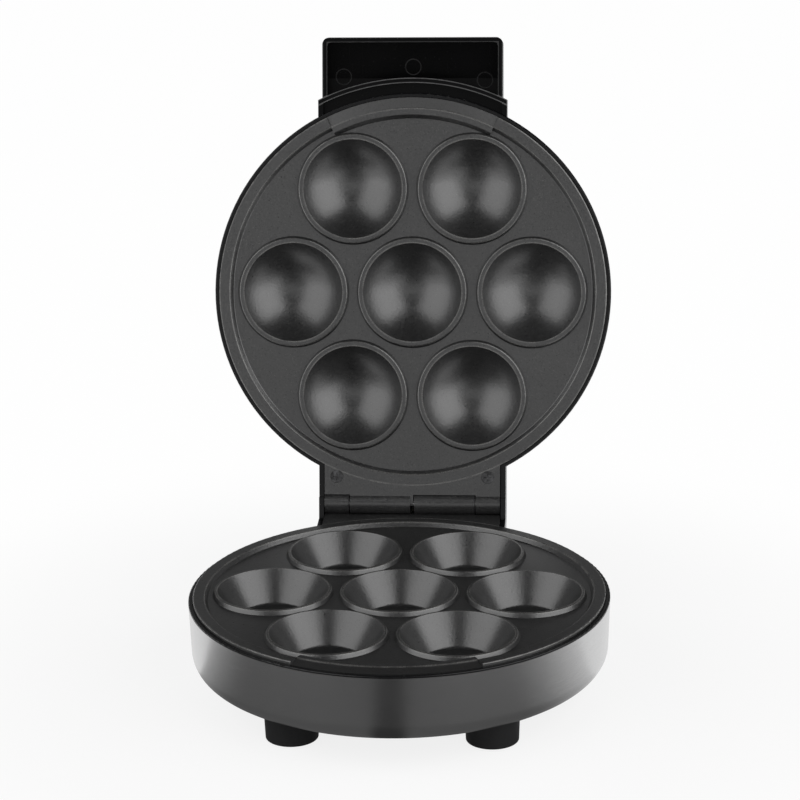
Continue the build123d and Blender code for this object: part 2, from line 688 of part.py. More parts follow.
def make_base_housing():
    """The moulded base shell: wall, rim, plate ledge, columns, cover bosses and hinge block."""
    block_low = RIM_TOP - BLOCK_H
    outer = bowl(SKIN_IN, BAND_BOTTOM, RIM_TOP)
    body = outer - bowl(SKIN_IN + WALL, COVER_TOP + FLANGE_T, FAR)
    behind_r = HOUSING_R - SKIN_IN - 2 * SKIN_FIT
    rim = turned([(SEAT_R - 2, BAND_TOP - 3), (behind_r, BAND_TOP - 3), (behind_r, BAND_TOP),
                  (HOUSING_R, BAND_TOP), (HOUSING_R, RIM_TOP, RIM_EDGE_R), (SEAT_R - 2, RIM_TOP)])
    ledge_top = LIP_TOP - SKIRT_DEPTH
    ledge = turned([(SEAT_R - LEDGE_W, ledge_top - LEDGE_T), (SEAT_R, ledge_top - LEDGE_ROOT_T),
                    (SEAT_R, ledge_top), (SEAT_R - LEDGE_W, ledge_top)])
    y_top = stop_line_y(RIM_TOP)
    y_low = stop_line_y(block_low)
    hinge_block = across([(60, block_low), (y_low, block_low, 1.5), (y_top, RIM_TOP, RIM_EDGE_R),
                          (60, RIM_TOP)], CHEEK_OUT)
    roof = RIM_TOP - BLOCK_ROOF
    pocket = across([(55, block_low + WALL), (y_low - WALL, block_low + WALL), (y_top - WALL, roof),
                     (55, roof)], CHEEK_OUT - WALL)
    columns = []
    for angle in COLUMN_ANGLES:
        x, y = polar(COLUMN_AT, angle)
        top = LIP_TOP - FIELD_UNDER - PLATE_BOSS_LEN
        rib = Rot(0, 0, angle) * block(COLUMN_AT, HOUSING_R, -COLUMN_RIB_T / 2, COLUMN_RIB_T / 2,
                                       COLUMN_FOOT_Z + 3, top - 1)
        columns.append(post(COLUMN_R, COLUMN_FOOT_Z, top, x, y) + (rib & outer))
    bosses = [post(COVER_BOSS_R, COVER_TOP, COVER_TOP + COVER_BOSS_LEN, *polar(COVER_SCREW_AT, angle))
              for angle in COVER_SCREW_ANGLES]
    flange_in = post(COVER_SCREW_AT - BORE_STOP, -FAR, COVER_TOP + FLANGE_T + 0.01)
    cavity = bowl(SKIN_IN + WALL, COVER_TOP + FLANGE_T, FAR)
    body = (body - flange_in) + rim + (ledge & bowl(SKIN_IN, 0, FAR))
    body = body + (hinge_block - cavity - pocket)
    body = body - (pocket & post(SEAT_R + 2, -FAR, roof - 0.5)) - post(SEAT_R, ledge_top, FAR)
    body = body - block(-CHEEK_IN, CHEEK_IN, 60, FAR, LIP_TOP - PLATE_WALL - REST_GAP, FAR)
    stand_top = LIP_TOP - PLATE_WALL - HINGE_BOSS_LEN - REST_GAP
    for side in (-1, 1):
        x = side * HINGE_SCREW_X
        stand = post(COLUMN_R, block_low, stand_top, x, HINGE_SCREW_Y)
        body = body - post(COLUMN_R, stand_top, FAR, x, HINGE_SCREW_Y) + stand
        body = body - post(SCREW_CLEAR_R, -FAR, FAR, x, HINGE_SCREW_Y)
        body = body - post(SCREW_HEAD_R + HEAD_CLEAR, -FAR, block_low + HINGE_SEAT_UP, x, HINGE_SCREW_Y)
    body = joined([body] + columns + bosses)
    for angle in COLUMN_ANGLES:
        x, y = polar(COLUMN_AT, angle)
        body = body - post(SCREW_CLEAR_R, -FAR, FAR, x, y)
        body = body - post(SCREW_HEAD_R + HEAD_CLEAR, COLUMN_FOOT_Z - 1, COLUMN_FOOT_Z + COLUMN_SEAT_UP, x, y)
    for angle in COVER_SCREW_ANGLES:
        x, y = polar(COVER_SCREW_AT, angle)
        body = body - post(THREAD_R, -FAR, COVER_TOP + COVER_BOSS_LEN - BORE_STOP, x, y)
    cover_room = post(COVER_SCREW_AT + COVER_EDGE_W + COVER_FIT, -FAR, COVER_TOP)
    body = body - cover_room
    hole = gland_at() * Rot(90, 0, 0) * Cylinder(GLAND_R, 40)
    return body - hole - sleeve_slot(HINGE_Z - SLEEVE_DOWN - 7, FAR)


def gland_at():
    """The gland's place in the rear wall."""
    return Pos(0, HOUSING_R, BAND_BOTTOM + GLAND_UP)


def sleeve_route():
    """The sleeved lead's route as it rests: up from the terminal block, under the tab and into the tail."""
    z = HINGE_Z - SLEEVE_DOWN
    z_in = COVER_TOP + TERMINAL_UP
    y_in = BLOCK_Y + BLOCK_D / 2
    return [(0, y_in, z_in), (0, y_in + 7, z_in), (0, HINGE_Y - 22, z - 12), (0, HINGE_Y - 15, z - 0.8),
            (0, HINGE_Y - 7, z), (0, HINGE_Y + 1.5, z - 0.9)]


def sleeve_slot(z0, z1):
    """The narrow gap left for the sleeved lead in what it passes at the rear."""
    return block(-SLEEVE_SLOT_HALF_W, SLEEVE_SLOT_HALF_W, HINGE_Y - 20, HINGE_Y, z0, z1)


def make_base_band():
    """The metal wrap round the base, with a notch for the hinge block and a hole for the gland."""
    body = bowl(0, BAND_BOTTOM, BAND_TOP) - bowl(BAND_T, 0, FAR)
    notch = block(-CHEEK_OUT - 0.2, CHEEK_OUT + 0.2, 0, FAR, RIM_TOP - BLOCK_H - 0.2, FAR)
    return body - notch - gland_at() * Rot(90, 0, 0) * Cylinder(GLAND_R, 40)


def foot_places():
    """Names and places of the four feet."""
    return {"front_left": (-FOOT_X, FOOT_FRONT_Y), "front_right": (FOOT_X, FOOT_FRONT_Y),
            "rear_left": (-FOOT_REAR_X, FOOT_REAR_Y), "rear_right": (FOOT_REAR_X, FOOT_REAR_Y)}


def make_bottom_cover():
    """The disc that closes the base: foot bosses, reflector posts, vents and screw holes."""
    disc_r = COVER_SCREW_AT + COVER_EDGE_W
    body = turned([(0, COVER_UNDER), (disc_r, COVER_UNDER, 0.8), (disc_r, COVER_TOP), (0, COVER_TOP)])
    for x, y in foot_places().values():
        body = body + post(COVER_BOSS_R, COVER_TOP - 0.5, COVER_TOP + FOOT_BOSS_H, x, y)
        body = body - post(THREAD_R, -FAR, COVER_TOP + FOOT_BOSS_H - 1.0, x, y)
    for angle in REFLECTOR_POST_ANGLES:
        x, y = polar(REFLECTOR_POST_AT, angle)
        body = body + post(REFLECTOR_POST_R, COVER_TOP - 0.5, LIP_TOP - REFLECTOR_DROP, x, y)
        body = body - post(THREAD_R, COVER_TOP, FAR, x, y)
    for angle in COVER_SCREW_ANGLES:
        x, y = polar(COVER_SCREW_AT, angle)
        body = body - post(SCREW_CLEAR_R, -FAR, FAR, x, y)
    for side in (-1, 1):
        for n in range(-VENTS_A_SIDE, VENTS_A_SIDE + 1):
            slot = extrude(SlotOverall(VENT_L, VENT_W), amount=COVER_TOP)
            body = body - Pos(side * VENT_X, n * VENT_PITCH, COVER_UNDER / 2) * slot
        body = body - post(THREAD_R, -FAR, FAR, side * terminal_screw_x(), BLOCK_Y)
    return body


def terminal_screw_x():
    """Half the distance between the terminal block's fixing screws."""
    return BLOCK_W / 2 - BLOCK_SCREW_IN


def make_terminal_block():
    """The three-way terminal block with its clamping screw wells and two fixing holes."""
    body = block(-BLOCK_W / 2, BLOCK_W / 2, BLOCK_Y - BLOCK_D / 2, BLOCK_Y + BLOCK_D / 2, COVER_TOP,
                 COVER_TOP + BLOCK_TALL)
    body = chamfer(body.edges().filter_by(Axis.Z), 1.0)
    for x in (-TERMINAL_PITCH, 0.0, TERMINAL_PITCH):
        body = body - post(1.6, COVER_TOP + BLOCK_TALL - 3, FAR, x, BLOCK_Y)
    for side in (-1, 1):
        x = side * terminal_screw_x()
        body = body - post(SCREW_CLEAR_R, -FAR, FAR, x, BLOCK_Y)
        body = body - post(SCREW_HEAD_R + HEAD_CLEAR / 2, COVER_TOP + BLOCK_SEAT_UP, FAR, x, BLOCK_Y)
    return body


def make_terminal_block_screws():
    """The two screws that hold the terminal block down."""
    seat = COVER_TOP + BLOCK_SEAT_UP
    return group([Pos(side * terminal_screw_x(), BLOCK_Y, seat) * Rot(180, 0, 0) * pan_screw(BLOCK_SCREW_LEN)
                  for side in (-1, 1)])


def make_foot(x, y):
    """A moulded foot with a recess for its pad and a screw hole."""
    body = turned([(0, FOOT_LIFT), (FOOT_R, FOOT_LIFT, 0.6), (FOOT_R + FOOT_FLARE, COVER_UNDER),
                   (0, COVER_UNDER)])
    body = body - post(PAD_R + PAD_FIT, -1, FOOT_LIFT + PAD_SEAT)
    body = body - post(SCREW_CLEAR_R, -1, FAR) - post(SCREW_HEAD_R + HEAD_CLEAR, -1, COVER_UNDER - FOOT_WEB)
    return Pos(x, y, 0) * body


def make_foot_pad(x, y):
    """A rubber disc under a foot."""
    top = FOOT_LIFT + PAD_SEAT
    return Pos(x, y, 0) * turned([(0, 0), (PAD_R, 0, 0.6), (PAD_R, top), (0, top)])


def make_thermostat():
    """The snap-disc thermostat: metal cap, ceramic body, two ears and two blade terminals."""
    top = LIP_TOP - CUP_DEPTH - PLATE_WALL
    ear_top = top - STAT_BOSS_LEN
    cap = post(STAT_R, top - STAT_H, top)
    ears = block(-STAT_SCREW_X, STAT_SCREW_X, -STAT_EAR_W, STAT_EAR_W, ear_top - STAT_EAR_T, ear_top)
    body = cap + ears
    for side in (-1, 1):
        body = body + post(STAT_EAR_W, ear_top - STAT_EAR_T, ear_top, side * STAT_SCREW_X, 0)
        y0, y1 = sorted((side * STAT_R / 2, side * BLADE_END))
        low = blade_z() - BLADE_T / 2
        body = body + block(-BLADE_HALF_W, BLADE_HALF_W, y0, y1, low, low + BLADE_T)
    for side in (-1, 1):
        body = body - post(STAT_BOSS_R / 2 + 0.2, -FAR, FAR, side * STAT_SCREW_X, 0)
    for side in (-1, 1):
        clear = post(STAT_BOSS_R + 0.1, ear_top, top + 1, side * STAT_SCREW_X, 0)
        body = body - clear
    return body


def blade_z():
    """The middle height of the thermostat's blade terminals."""
    return LIP_TOP - CUP_DEPTH - PLATE_WALL - STAT_H + BLADE_T


def make_thermostat_screws():
    """The two small screws through the thermostat's ears."""
    seat = LIP_TOP - CUP_DEPTH - PLATE_WALL - STAT_BOSS_LEN - STAT_EAR_T
    head = turned([(0, -STAT_HEAD_H), (STAT_HEAD_R, -STAT_HEAD_H, 0.6), (STAT_HEAD_R, 0), (0, 0)])
    small = head + post(STAT_BOSS_R / 2, -0.5, STAT_SCREW_LEN)
    return group([Pos(side * STAT_SCREW_X, 0, seat) * small for side in (-1, 1)])


def fuse_frame():
    """A frame at the fuse's screw boss, with X pointing outwards."""
    x, y = polar(FUSE_AT, FUSE_ANGLE)
    return Pos(x, y, LIP_TOP - HEATER_SINK - TUBE_R) * Rot(0, 0, FUSE_ANGLE)


def make_thermal_fuse():
    """The sleeved thermal fuse, lying beside its boss."""
    return fuse_frame() * Pos(FUSE_OFFSET, 0, -FUSE_R - CLIP_T) * Rot(90, 0, 0) * Cylinder(FUSE_R, FUSE_LEN)


def make_fuse_clip():
    """The bent strap that holds the fuse to its boss."""
    at = Pos(FUSE_OFFSET, 0, -FUSE_R - CLIP_T) * Rot(90, 0, 0)
    ear = block(-CLAMP_BOSS_R, FUSE_OFFSET, -CLIP_W / 2, CLIP_W / 2, -CLIP_T, 0)
    strap = at * Cylinder(FUSE_R + CLIP_T, CLIP_W) + ear - at * Cylinder(FUSE_R, 2 * CLIP_W)
    return fuse_frame() * (strap - post(SCREW_CLEAR_R, -FUSE_R, FUSE_R))


def make_fuse_screw():
    """The screw through the fuse clip."""
    return fuse_frame() * Pos(0, 0, -CLIP_T) * pan_screw(CLIP_SCREW_LEN)


def make_cord_gland():
    """The cord inlet bush: outer flange, body through the wall and an inner snap lip."""
    outline = [(GLAND_BORE_R, -GLAND_LEN + GLAND_FLANGE_T), (GLAND_R - 0.1, -GLAND_LEN + GLAND_FLANGE_T, 0.5),
               (GLAND_R - 0.1, 0), (GLAND_FLANGE_R, 0), (GLAND_FLANGE_R, GLAND_FLANGE_T, 0.9),
               (GLAND_BORE_R, GLAND_FLANGE_T)]
    wall_y = HOUSING_R + 0.05
    return Pos(0, wall_y, BAND_BOTTOM + GLAND_UP) * Rot(-90, 0, 0) * turned(outline)


def make_hinge_pin():
    """The steel pin through all four knuckles."""
    pin = rod(PIN_R, -PIN_HALF_LEN, PIN_HALF_LEN, HINGE_Y, HINGE_Z)
    return chamfer(pin.edges().filter_by(GeomType.CIRCLE), 0.4)


# Lid, drawn closed

def tail_outline(inset):
    """The (y, z) outline of the lid's tail: over the pin and down behind it to the split line."""
    top = HINGE_Z + TAIL_R - inset
    front = 70.0
    step = HINGE_Y - TAIL_SPLIT_AHEAD
    return [(front, LID_RIM_Z - 0.01), (step, LID_RIM_Z - 0.01), (step, SPLIT_Z), (HINGE_Y + FAR, SPLIT_Z),
            (HINGE_Y + FAR, top), (front, top)]


def tail_solid(inset, half_width):
    """The tail as a bar along X, rounded about the hinge pin."""
    radius = TAIL_R - inset
    bar = across(tail_outline(inset), half_width)
    behind = across([(HINGE_Y, 0), (3 * FAR, 0), (3 * FAR, FAR), (HINGE_Y, FAR)], half_width + 1)
    return (bar - behind) + (bar & behind & rod(radius, -FAR, FAR, HINGE_Y, HINGE_Z))


def make_lid_housing():
    """The moulded lid shell: side wall, roof, rim, ledge, columns, posts and the hinge tail."""
    inner = lid_dome(SKIN_IN + WALL, 0)
    outer = lid_dome(SKIN_IN, LID_RIM_Z) & post(FAR, LID_RIM_Z, FAR)
    behind_r = HOUSING_R - SKIN_IN - 2 * SKIN_FIT
    rim = turned([(SEAT_R - 2, LID_RIM_Z), (HOUSING_R, LID_RIM_Z, RIM_EDGE_R), (HOUSING_R, LID_SKIN_Z),
                  (behind_r, LID_SKIN_Z), (behind_r, LID_SKIN_Z + 3), (SEAT_R - 2, LID_SKIN_Z + 3)])
    ledge_z = LID_LIP + SKIRT_DEPTH
    ledge = turned([(SEAT_R - LEDGE_W, ledge_z), (SEAT_R, ledge_z), (SEAT_R, ledge_z + LEDGE_ROOT_T),
                    (SEAT_R - LEDGE_W, ledge_z + LEDGE_T)])
    tail = tail_solid(0, CHEEK_OUT)
    hollow = tail_solid(WALL, CHEEK_IN)
    tail_end = HINGE_Y + TAIL_R - WALL
    opening = across([(60, LID_RIM_Z - 1), (HINGE_Y + 1, LID_RIM_Z - 1), (HINGE_Y + 1, SPLIT_Z - 2),
                      (tail_end, SPLIT_Z - 2), (tail_end, SPLIT_Z + 1), (HINGE_Y + 1, SPLIT_Z + 1),
                      (HINGE_Y + 1, LID_RIM_Z + 3), (60, LID_RIM_Z + 3)], CHEEK_IN)
    body = outer + tail - inner + rim + (ledge & lid_dome(SKIN_IN, 0))
    tail_ring = across([(HINGE_Y - 60, 0), (FAR, 0), (FAR, FAR), (HINGE_Y - 60, FAR)], CHEEK_IN)
    body = body - (hollow & tail_ring) - opening
    body = body - post(SEAT_R, -FAR, ledge_z)
    body = body - rod(TAIL_R - WALL, -CHEEK_IN, CHEEK_IN, HINGE_Y, HINGE_Z)
    roof = lid_dome(SKIN_IN + WALL / 2, 0)
    fits = []
    for angle in LID_COLUMN_ANGLES:
        x, y = polar(COLUMN_AT, angle)
        fits.append(post(COLUMN_R, LID_LIP + FIELD_UNDER + PLATE_BOSS_LEN, FAR, x, y) & roof)
    for angle in REFLECTOR_POST_ANGLES:
        x, y = polar(REFLECTOR_POST_AT, angle)
        fits.append(post(REFLECTOR_POST_R, LID_LIP + REFLECTOR_DROP, FAR, x, y) & roof)
    for side in (-1, 1):
        column = post(HINGE_BOSS_R, LID_LIP + PLATE_WALL, HINGE_Z + TAIL_R - 1, side * HINGE_SCREW_X,
                      HINGE_SCREW_Y)
        fits.append(column)
        pad = handle_screw_at(side) * Cylinder(HANDLE_PAD_R, 2 * HANDLE_PAD_IN)
        fits.append(pad & lid_dome(SKIN_IN, 0))
    body = joined([body] + fits) - post(SEAT_R, -FAR, ledge_z)
    head_room = Cylinder(SCREW_HEAD_R + HEAD_CLEAR, 8)
    for side in (-1, 1):
        body = body - handle_screw_at(side) * Pos(0, 0, -HANDLE_PAD_IN - 4) * head_room
    for angle in LID_COLUMN_ANGLES:
        x, y = polar(COLUMN_AT, angle)
        body = body - post(SCREW_CLEAR_R, 0, FAR, x, y)
        body = body - post(SCREW_HEAD_R + HEAD_CLEAR, column_seat_z(), FAR, x, y)
    for angle in REFLECTOR_POST_ANGLES:
        x, y = polar(REFLECTOR_POST_AT, angle)
        body = body - post(THREAD_R, 0, LID_LIP + REFLECTOR_DROP + 5.5, x, y)
    for side in (-1, 1):
        body = body - post(THREAD_R, 0, LID_LIP + REAR_SCREW_LEN + 1, side * HINGE_SCREW_X, HINGE_SCREW_Y)
        body = body - handle_screw_at(side) * Cylinder(SCREW_CLEAR_R, 30)
        body = body - lens_at(side) * Cylinder(LENS_BODY_R + LENS_FIT, 30)
    for angle in COVER_STUD_ANGLES:
        body = body - post(COVER_STUD_R + 0.3, 0, FAR, *polar(COVER_STUD_AT, angle))
    return body


def column_seat_z():
    """Where the heads of the lid plate's front screws sit, down inside their columns."""
    return LID_LIP + FIELD_UNDER + PLATE_BOSS_LEN + LID_COLUMN_SEAT_UP


def make_lid_cover():
    """The lid's metal skin with a notch for the hinge tail, lens holes and three welded studs."""
    body = lid_dome(0, LID_SKIN_Z) - lid_dome(BAND_T, 0)
    notch = block(-CHEEK_OUT - 0.2, CHEEK_OUT + 0.2, 0, FAR, 0, HINGE_Z + TAIL_R + 0.2)
    body = body - notch
    for side in (-1, 1):
        body = body - lens_at(side) * Cylinder(LENS_BODY_R + LENS_FIT, 30)
        body = body - handle_screw_at(side) * Cylinder(SCREW_CLEAR_R, 30)
    skin = lid_dome(BAND_T / 2, 0)
    for angle in COVER_STUD_ANGLES:
        low = crown_height(COVER_STUD_AT, SKIN_IN + WALL)[0] - NUT_H - STUD_PAST_NUT
        body = body + (post(COVER_STUD_R, low, FAR, *polar(COVER_STUD_AT, angle)) & skin)
    return body


def make_lid_cover_nuts():
    """The nuts on the cover's studs, under the housing's roof."""
    nuts = []
    for angle in COVER_STUD_ANGLES:
        x, y = polar(COVER_STUD_AT, angle)
        seat = crown_height(COVER_STUD_AT + NUT_R, SKIN_IN + WALL)[0] - 0.05
        nut = extrude(RegularPolygon(NUT_R, 6), amount=NUT_H)
        nuts.append(Pos(x, y, seat - NUT_H) * (nut - post(COVER_STUD_R + THREAD_FIT, -1, NUT_H + 1)))
    return group(nuts)


def handle_screw_at(side):
    """A handle screw's axis: square to the lid's side, near the front."""
    y = -math.sqrt(HOUSING_R ** 2 - HANDLE_SCREW_X ** 2)
    return Pos(side * HANDLE_SCREW_X, y, LID_RIM_Z + HANDLE_SCREW_UP) * Rot(90, 0, 0)


def handle_hole_end():
    """How far past the lid's side a handle screw's hole runs: up to a skin behind the neck's front."""
    neck_y = math.sqrt(NECK_R ** 2 - HANDLE_SCREW_X ** 2)
    return neck_y - math.sqrt(HOUSING_R ** 2 - HANDLE_SCREW_X ** 2) - NECK_SKIN


def handle_ceiling(tip, root, deeper):
    """The (y, z) line of the tray's ceiling, from past the tip to the back."""
    low_tip = tip - HANDLE_WALL + deeper
    low_root = root - HANDLE_WALL + deeper
    return [(-FAR, low_tip), (-HANDLE_REACH, low_tip), (-NECK_R, low_root), (HANDLE_BACK_Y, low_root)]


def make_handle():
    """The handle: a neck with an arched front and a shallow recess, and a flat tray open underneath."""
    low = LID_RIM_Z
    root = low + HANDLE_ROOT_H
    tip = low + HANDLE_TIP_H
    side_view = across([(HANDLE_BACK_Y, low), (-HANDLE_REACH, low, 1.0), (-HANDLE_REACH, tip, 5.0),
                        (-NECK_R, root, 12.0), (HANDLE_BACK_Y, root)], FAR / 4)
    neck_plan = post(NECK_R, 0, FAR) & block(-NECK_HALF_W, NECK_HALF_W, -FAR, HANDLE_BACK_Y, 0, FAR)
    tray_plan = handle_plan(HANDLE_HALF_W, HANDLE_REACH, HANDLE_CORNER_R)
    inner_w = NECK_HALF_W - NECK_WALL
    neck_room = post(NECK_R - NECK_WALL, 0, low + NECK_ROOM_H) & block(-inner_w, inner_w, -FAR, 0, 0, FAR)
    tray_room = handle_plan(HANDLE_HALF_W - HANDLE_WALL, HANDLE_REACH - HANDLE_WALL,
                            HANDLE_CORNER_R - HANDLE_WALL / 2) - post(NECK_R, -1, FAR)
    under = [(HANDLE_BACK_Y, 0), (-FAR, 0)]
    tray_view = across(under + handle_ceiling(tip, root, 0), FAR / 4)
    mark_view = across(under + handle_ceiling(tip, root, MARK_DEPTH), FAR / 4)
    marks = joined([post(MARK_R, 0, FAR, x, from_tip - HANDLE_REACH) for x, from_tip in MARKS])
    body = ((neck_plan + tray_plan) & side_view) - neck_room - (tray_room & tray_view)
    body = body - (marks & mark_view & tray_room)
    body = body - lid_dome(-REST_GAP, 0) - post(HOUSING_R + REST_GAP, 0, LID_SKIN_Z + 8)
    end = handle_hole_end()
    for side in (-1, 1):
        body = body - handle_screw_at(side) * Pos(0, 0, end / 2 - 1) * Cylinder(THREAD_R, end + 2)
    return body


def handle_plan(half_width, reach, corner):
    """The tray's plan, from under the lid to its tip, as a tall block."""
    return slab([(-half_width, HANDLE_BACK_Y), (half_width, HANDLE_BACK_Y), (half_width, -reach, corner),
                 (-half_width, -reach, corner)], 0, FAR / 2)


def make_handle_screws():
    """The screws from inside the lid into the handle's neck."""
    length = HANDLE_PAD_IN + handle_hole_end() - BORE_STOP / 2
    return group([handle_screw_at(side) * Pos(0, 0, -HANDLE_PAD_IN) * pan_screw(length) for side in (-1, 1)])


def lens_at(side):
    """A lens axis, square to the crown of the lid near its front."""
    height, lean = crown_height(-LENS_Y, 0)
    return Pos(side * LENS_X, LENS_Y, height) * Rot(lean, 0, 0)


def make_lens(side):
    """A lamp lens: a low round cap with a hollow stem through the lid."""
    bore_r = LAMP_R + LAMP_GAP
    outline = [(0, -LENS_CROWN), (bore_r, -LENS_CROWN), (bore_r, -LENS_BODY_LEN),
               (LENS_BODY_R, -LENS_BODY_LEN), (LENS_BODY_R, 0.1), (LENS_R, 0.1), (LENS_R, LENS_H, 1.2),
               (0, LENS_H)]
    return lens_at(side) * turned(outline)


def make_lamp(side):
    """A small neon lamp up inside its lens."""
    top = -LENS_CROWN - LAMP_GAP
    outline = [(0, top), (LAMP_R, top, 1.5), (LAMP_R, top - LAMP_LEN), (0, top - LAMP_LEN)]
    return lens_at(side) * turned(outline)


def lead(points, bend, radius=LEAD_R):
    """A round lead along straight runs joined by bends."""
    path = FilletPolyline(*points, radius=[bend] * (len(points) - 2))
    start = Vector(*points[0])
    way = Vector(*points[1]) - start
    return sweep(Plane(origin=start, z_dir=way) * Circle(radius), path=path)


def make_base_leads():
    """The leads in the base: heater legs and thermostat to the terminal block."""
    z_leg = LIP_TOP - HEATER_SINK
    y_leg = LEG_END_Y + TERMINAL_LEN
    leads = []
    for side in (-1, 1):
        x = side * LEG_X
        y_out = BLOCK_Y + BLOCK_D / 2 + LEAD_LOOP
        z_in = COVER_TOP + TERMINAL_UP
        leads.append(lead([(x, y_leg, z_leg), (x, y_out, z_leg), (side * TERMINAL_PITCH, y_out, z_in),
                           (side * TERMINAL_PITCH, BLOCK_Y + BLOCK_D / 2, z_in)], LEAD_BEND))
    return group(leads)


def fuse_end(along):
    """A point on the fuse's axis, a distance along it from its middle."""
    place = (fuse_frame() * Pos(FUSE_OFFSET, along, -FUSE_R - CLIP_T)).position
    return place.X, place.Y, place.Z


def make_thermostat_lead():
    """The lead between the fuse and the thermostat's front blade."""
    z_stat = blade_z()
    return lead([fuse_end(FUSE_LEN / 2), fuse_end(FUSE_LEN / 2 + 6), (-20, -36, z_stat), (0, -26, z_stat),
                 (0, -BLADE_END, z_stat)], LEAD_BEND)


def make_supply_lead():
    """The lead from the terminal block round to the fuse."""
    z_run = blade_z() + 1.5
    z_in = COVER_TOP + TERMINAL_UP
    front = BLOCK_Y - BLOCK_D / 2
    y_turn = front - LEAD_LOOP
    x_in = -TERMINAL_PITCH
    return lead([fuse_end(-FUSE_LEN / 2), fuse_end(-FUSE_LEN / 2 - 7), (-52, 10, z_run), (-30, 46, z_run),
                 (x_in, y_turn, z_run), (x_in, y_turn + 0.5, z_in), (x_in, front, z_in)], LEAD_BEND)


def make_switched_lead():
    """The lead from the thermostat's rear blade to the terminal block."""
    z_run = blade_z()
    z_in = COVER_TOP + TERMINAL_UP
    front = BLOCK_Y - BLOCK_D / 2
    return lead([(0, BLADE_END, z_run), (0, front - LEAD_LOOP, z_run), (0, front - LEAD_LOOP + 1, z_in),
                 (0, front, z_in)], 2.0)


def make_lid_leads():
    """The two leads in the lid, from the sleeve in the tail to the heater's terminals, drawn closed."""
    leads = []
    y_end, z_end = closed_place(sleeve_route()[-1])
    y_way, z_way = closed_place(sleeve_route()[-2])
    z_over = HINGE_Z + KNUCKLE_R + LEAD_OVER
    y_turn = y_end + (y_end - y_way) * (z_over - z_end) / (z_end - z_way)
    z_heater = LID_LIP + HEATER_SINK
    y_heater = LEG_END_Y + TERMINAL_LEN
    for side in (-1, 1):
        x = side * (LEAD_R + 0.02)
        leads.append(lead([(x, y_end, z_end), (x, y_turn, z_over), (x, y_heater + 15, z_over),
                           (side * LEG_X, y_heater + 8, z_heater), (side * LEG_X, y_heater, z_heater)],
                          LEAD_BEND))
    return group(leads)


def make_hinge_sleeve():
    """The sleeved lead that crosses from the base into the lid's tail."""
    return lead(sleeve_route(), SLEEVE_BEND, SLEEVE_R)


def lid_body_pieces():
    """Every piece that swings with the lid, drawn closed."""
    return {
        "lid_plate": make_lid_plate(),
        "lid_plate_screws_rear": make_lid_plate_screws_rear(),
        "lid_plate_screws_front": make_lid_plate_screws_front(),
        "lid_heater": upside_down(heater()),
        "lid_heater_clamp": upside_down(heater_clamp()),
        "lid_heater_screws": group([upside_down(s) for s in clamp_screws()]),
        "lid_reflector": upside_down(reflector()),
        "lid_reflector_screws": group([upside_down(s) for s in reflector_screws()]),
        "lid_leads": make_lid_leads(),
        "lid_housing": make_lid_housing(),
        "lid_cover": make_lid_cover(),
        "lid_cover_nuts": make_lid_cover_nuts(),
        "handle": make_handle(),
        "handle_screws": make_handle_screws(),
        "lens_red": make_lens(-1),
        "lens_green": make_lens(1),
        "lamp_red": make_lamp(-1),
        "lamp_green": make_lamp(1),
    }


def countersunk_screw():
    """A cross-head screw whose head sits in the plate's face, pointing up."""
    edge_r = SCREW_HEAD_R - 0.1
    low = PLATE_WALL - 0.5
    head = turned([(0, HEAD_SINK), (edge_r, HEAD_SINK), (edge_r, HEAD_SINK + 0.1), (SCREW_R, low), (0, low)])
    slot = drive_slot(-1, HEAD_SINK + DRIVE_DEPTH)
    return head + post(SCREW_R, 1.0, REAR_SCREW_LEN) - slot - Rot(0, 0, 90) * slot


def make_lid_plate_screws_rear():
    """The two countersunk screws beside the hinge, through the plate's face into the housing."""
    screw = countersunk_screw()
    return group([Pos(side * HINGE_SCREW_X, HINGE_SCREW_Y, LID_LIP) * screw for side in (-1, 1)])


def make_lid_plate_screws_front():
    """The screws down the lid's front columns into the plate's bosses."""
    screw = Rot(180, 0, 0) * pan_screw(LID_COLUMN_SCREW_LEN)
    return group([Pos(*polar(COLUMN_AT, angle), column_seat_z()) * screw for angle in LID_COLUMN_ANGLES])


def screws_at(places, seat, length):
    """Upright pan-head screws, one at each place, with their heads' seats at one height."""
    return group([Pos(x, y, seat) * pan_screw(length) for x, y in places])


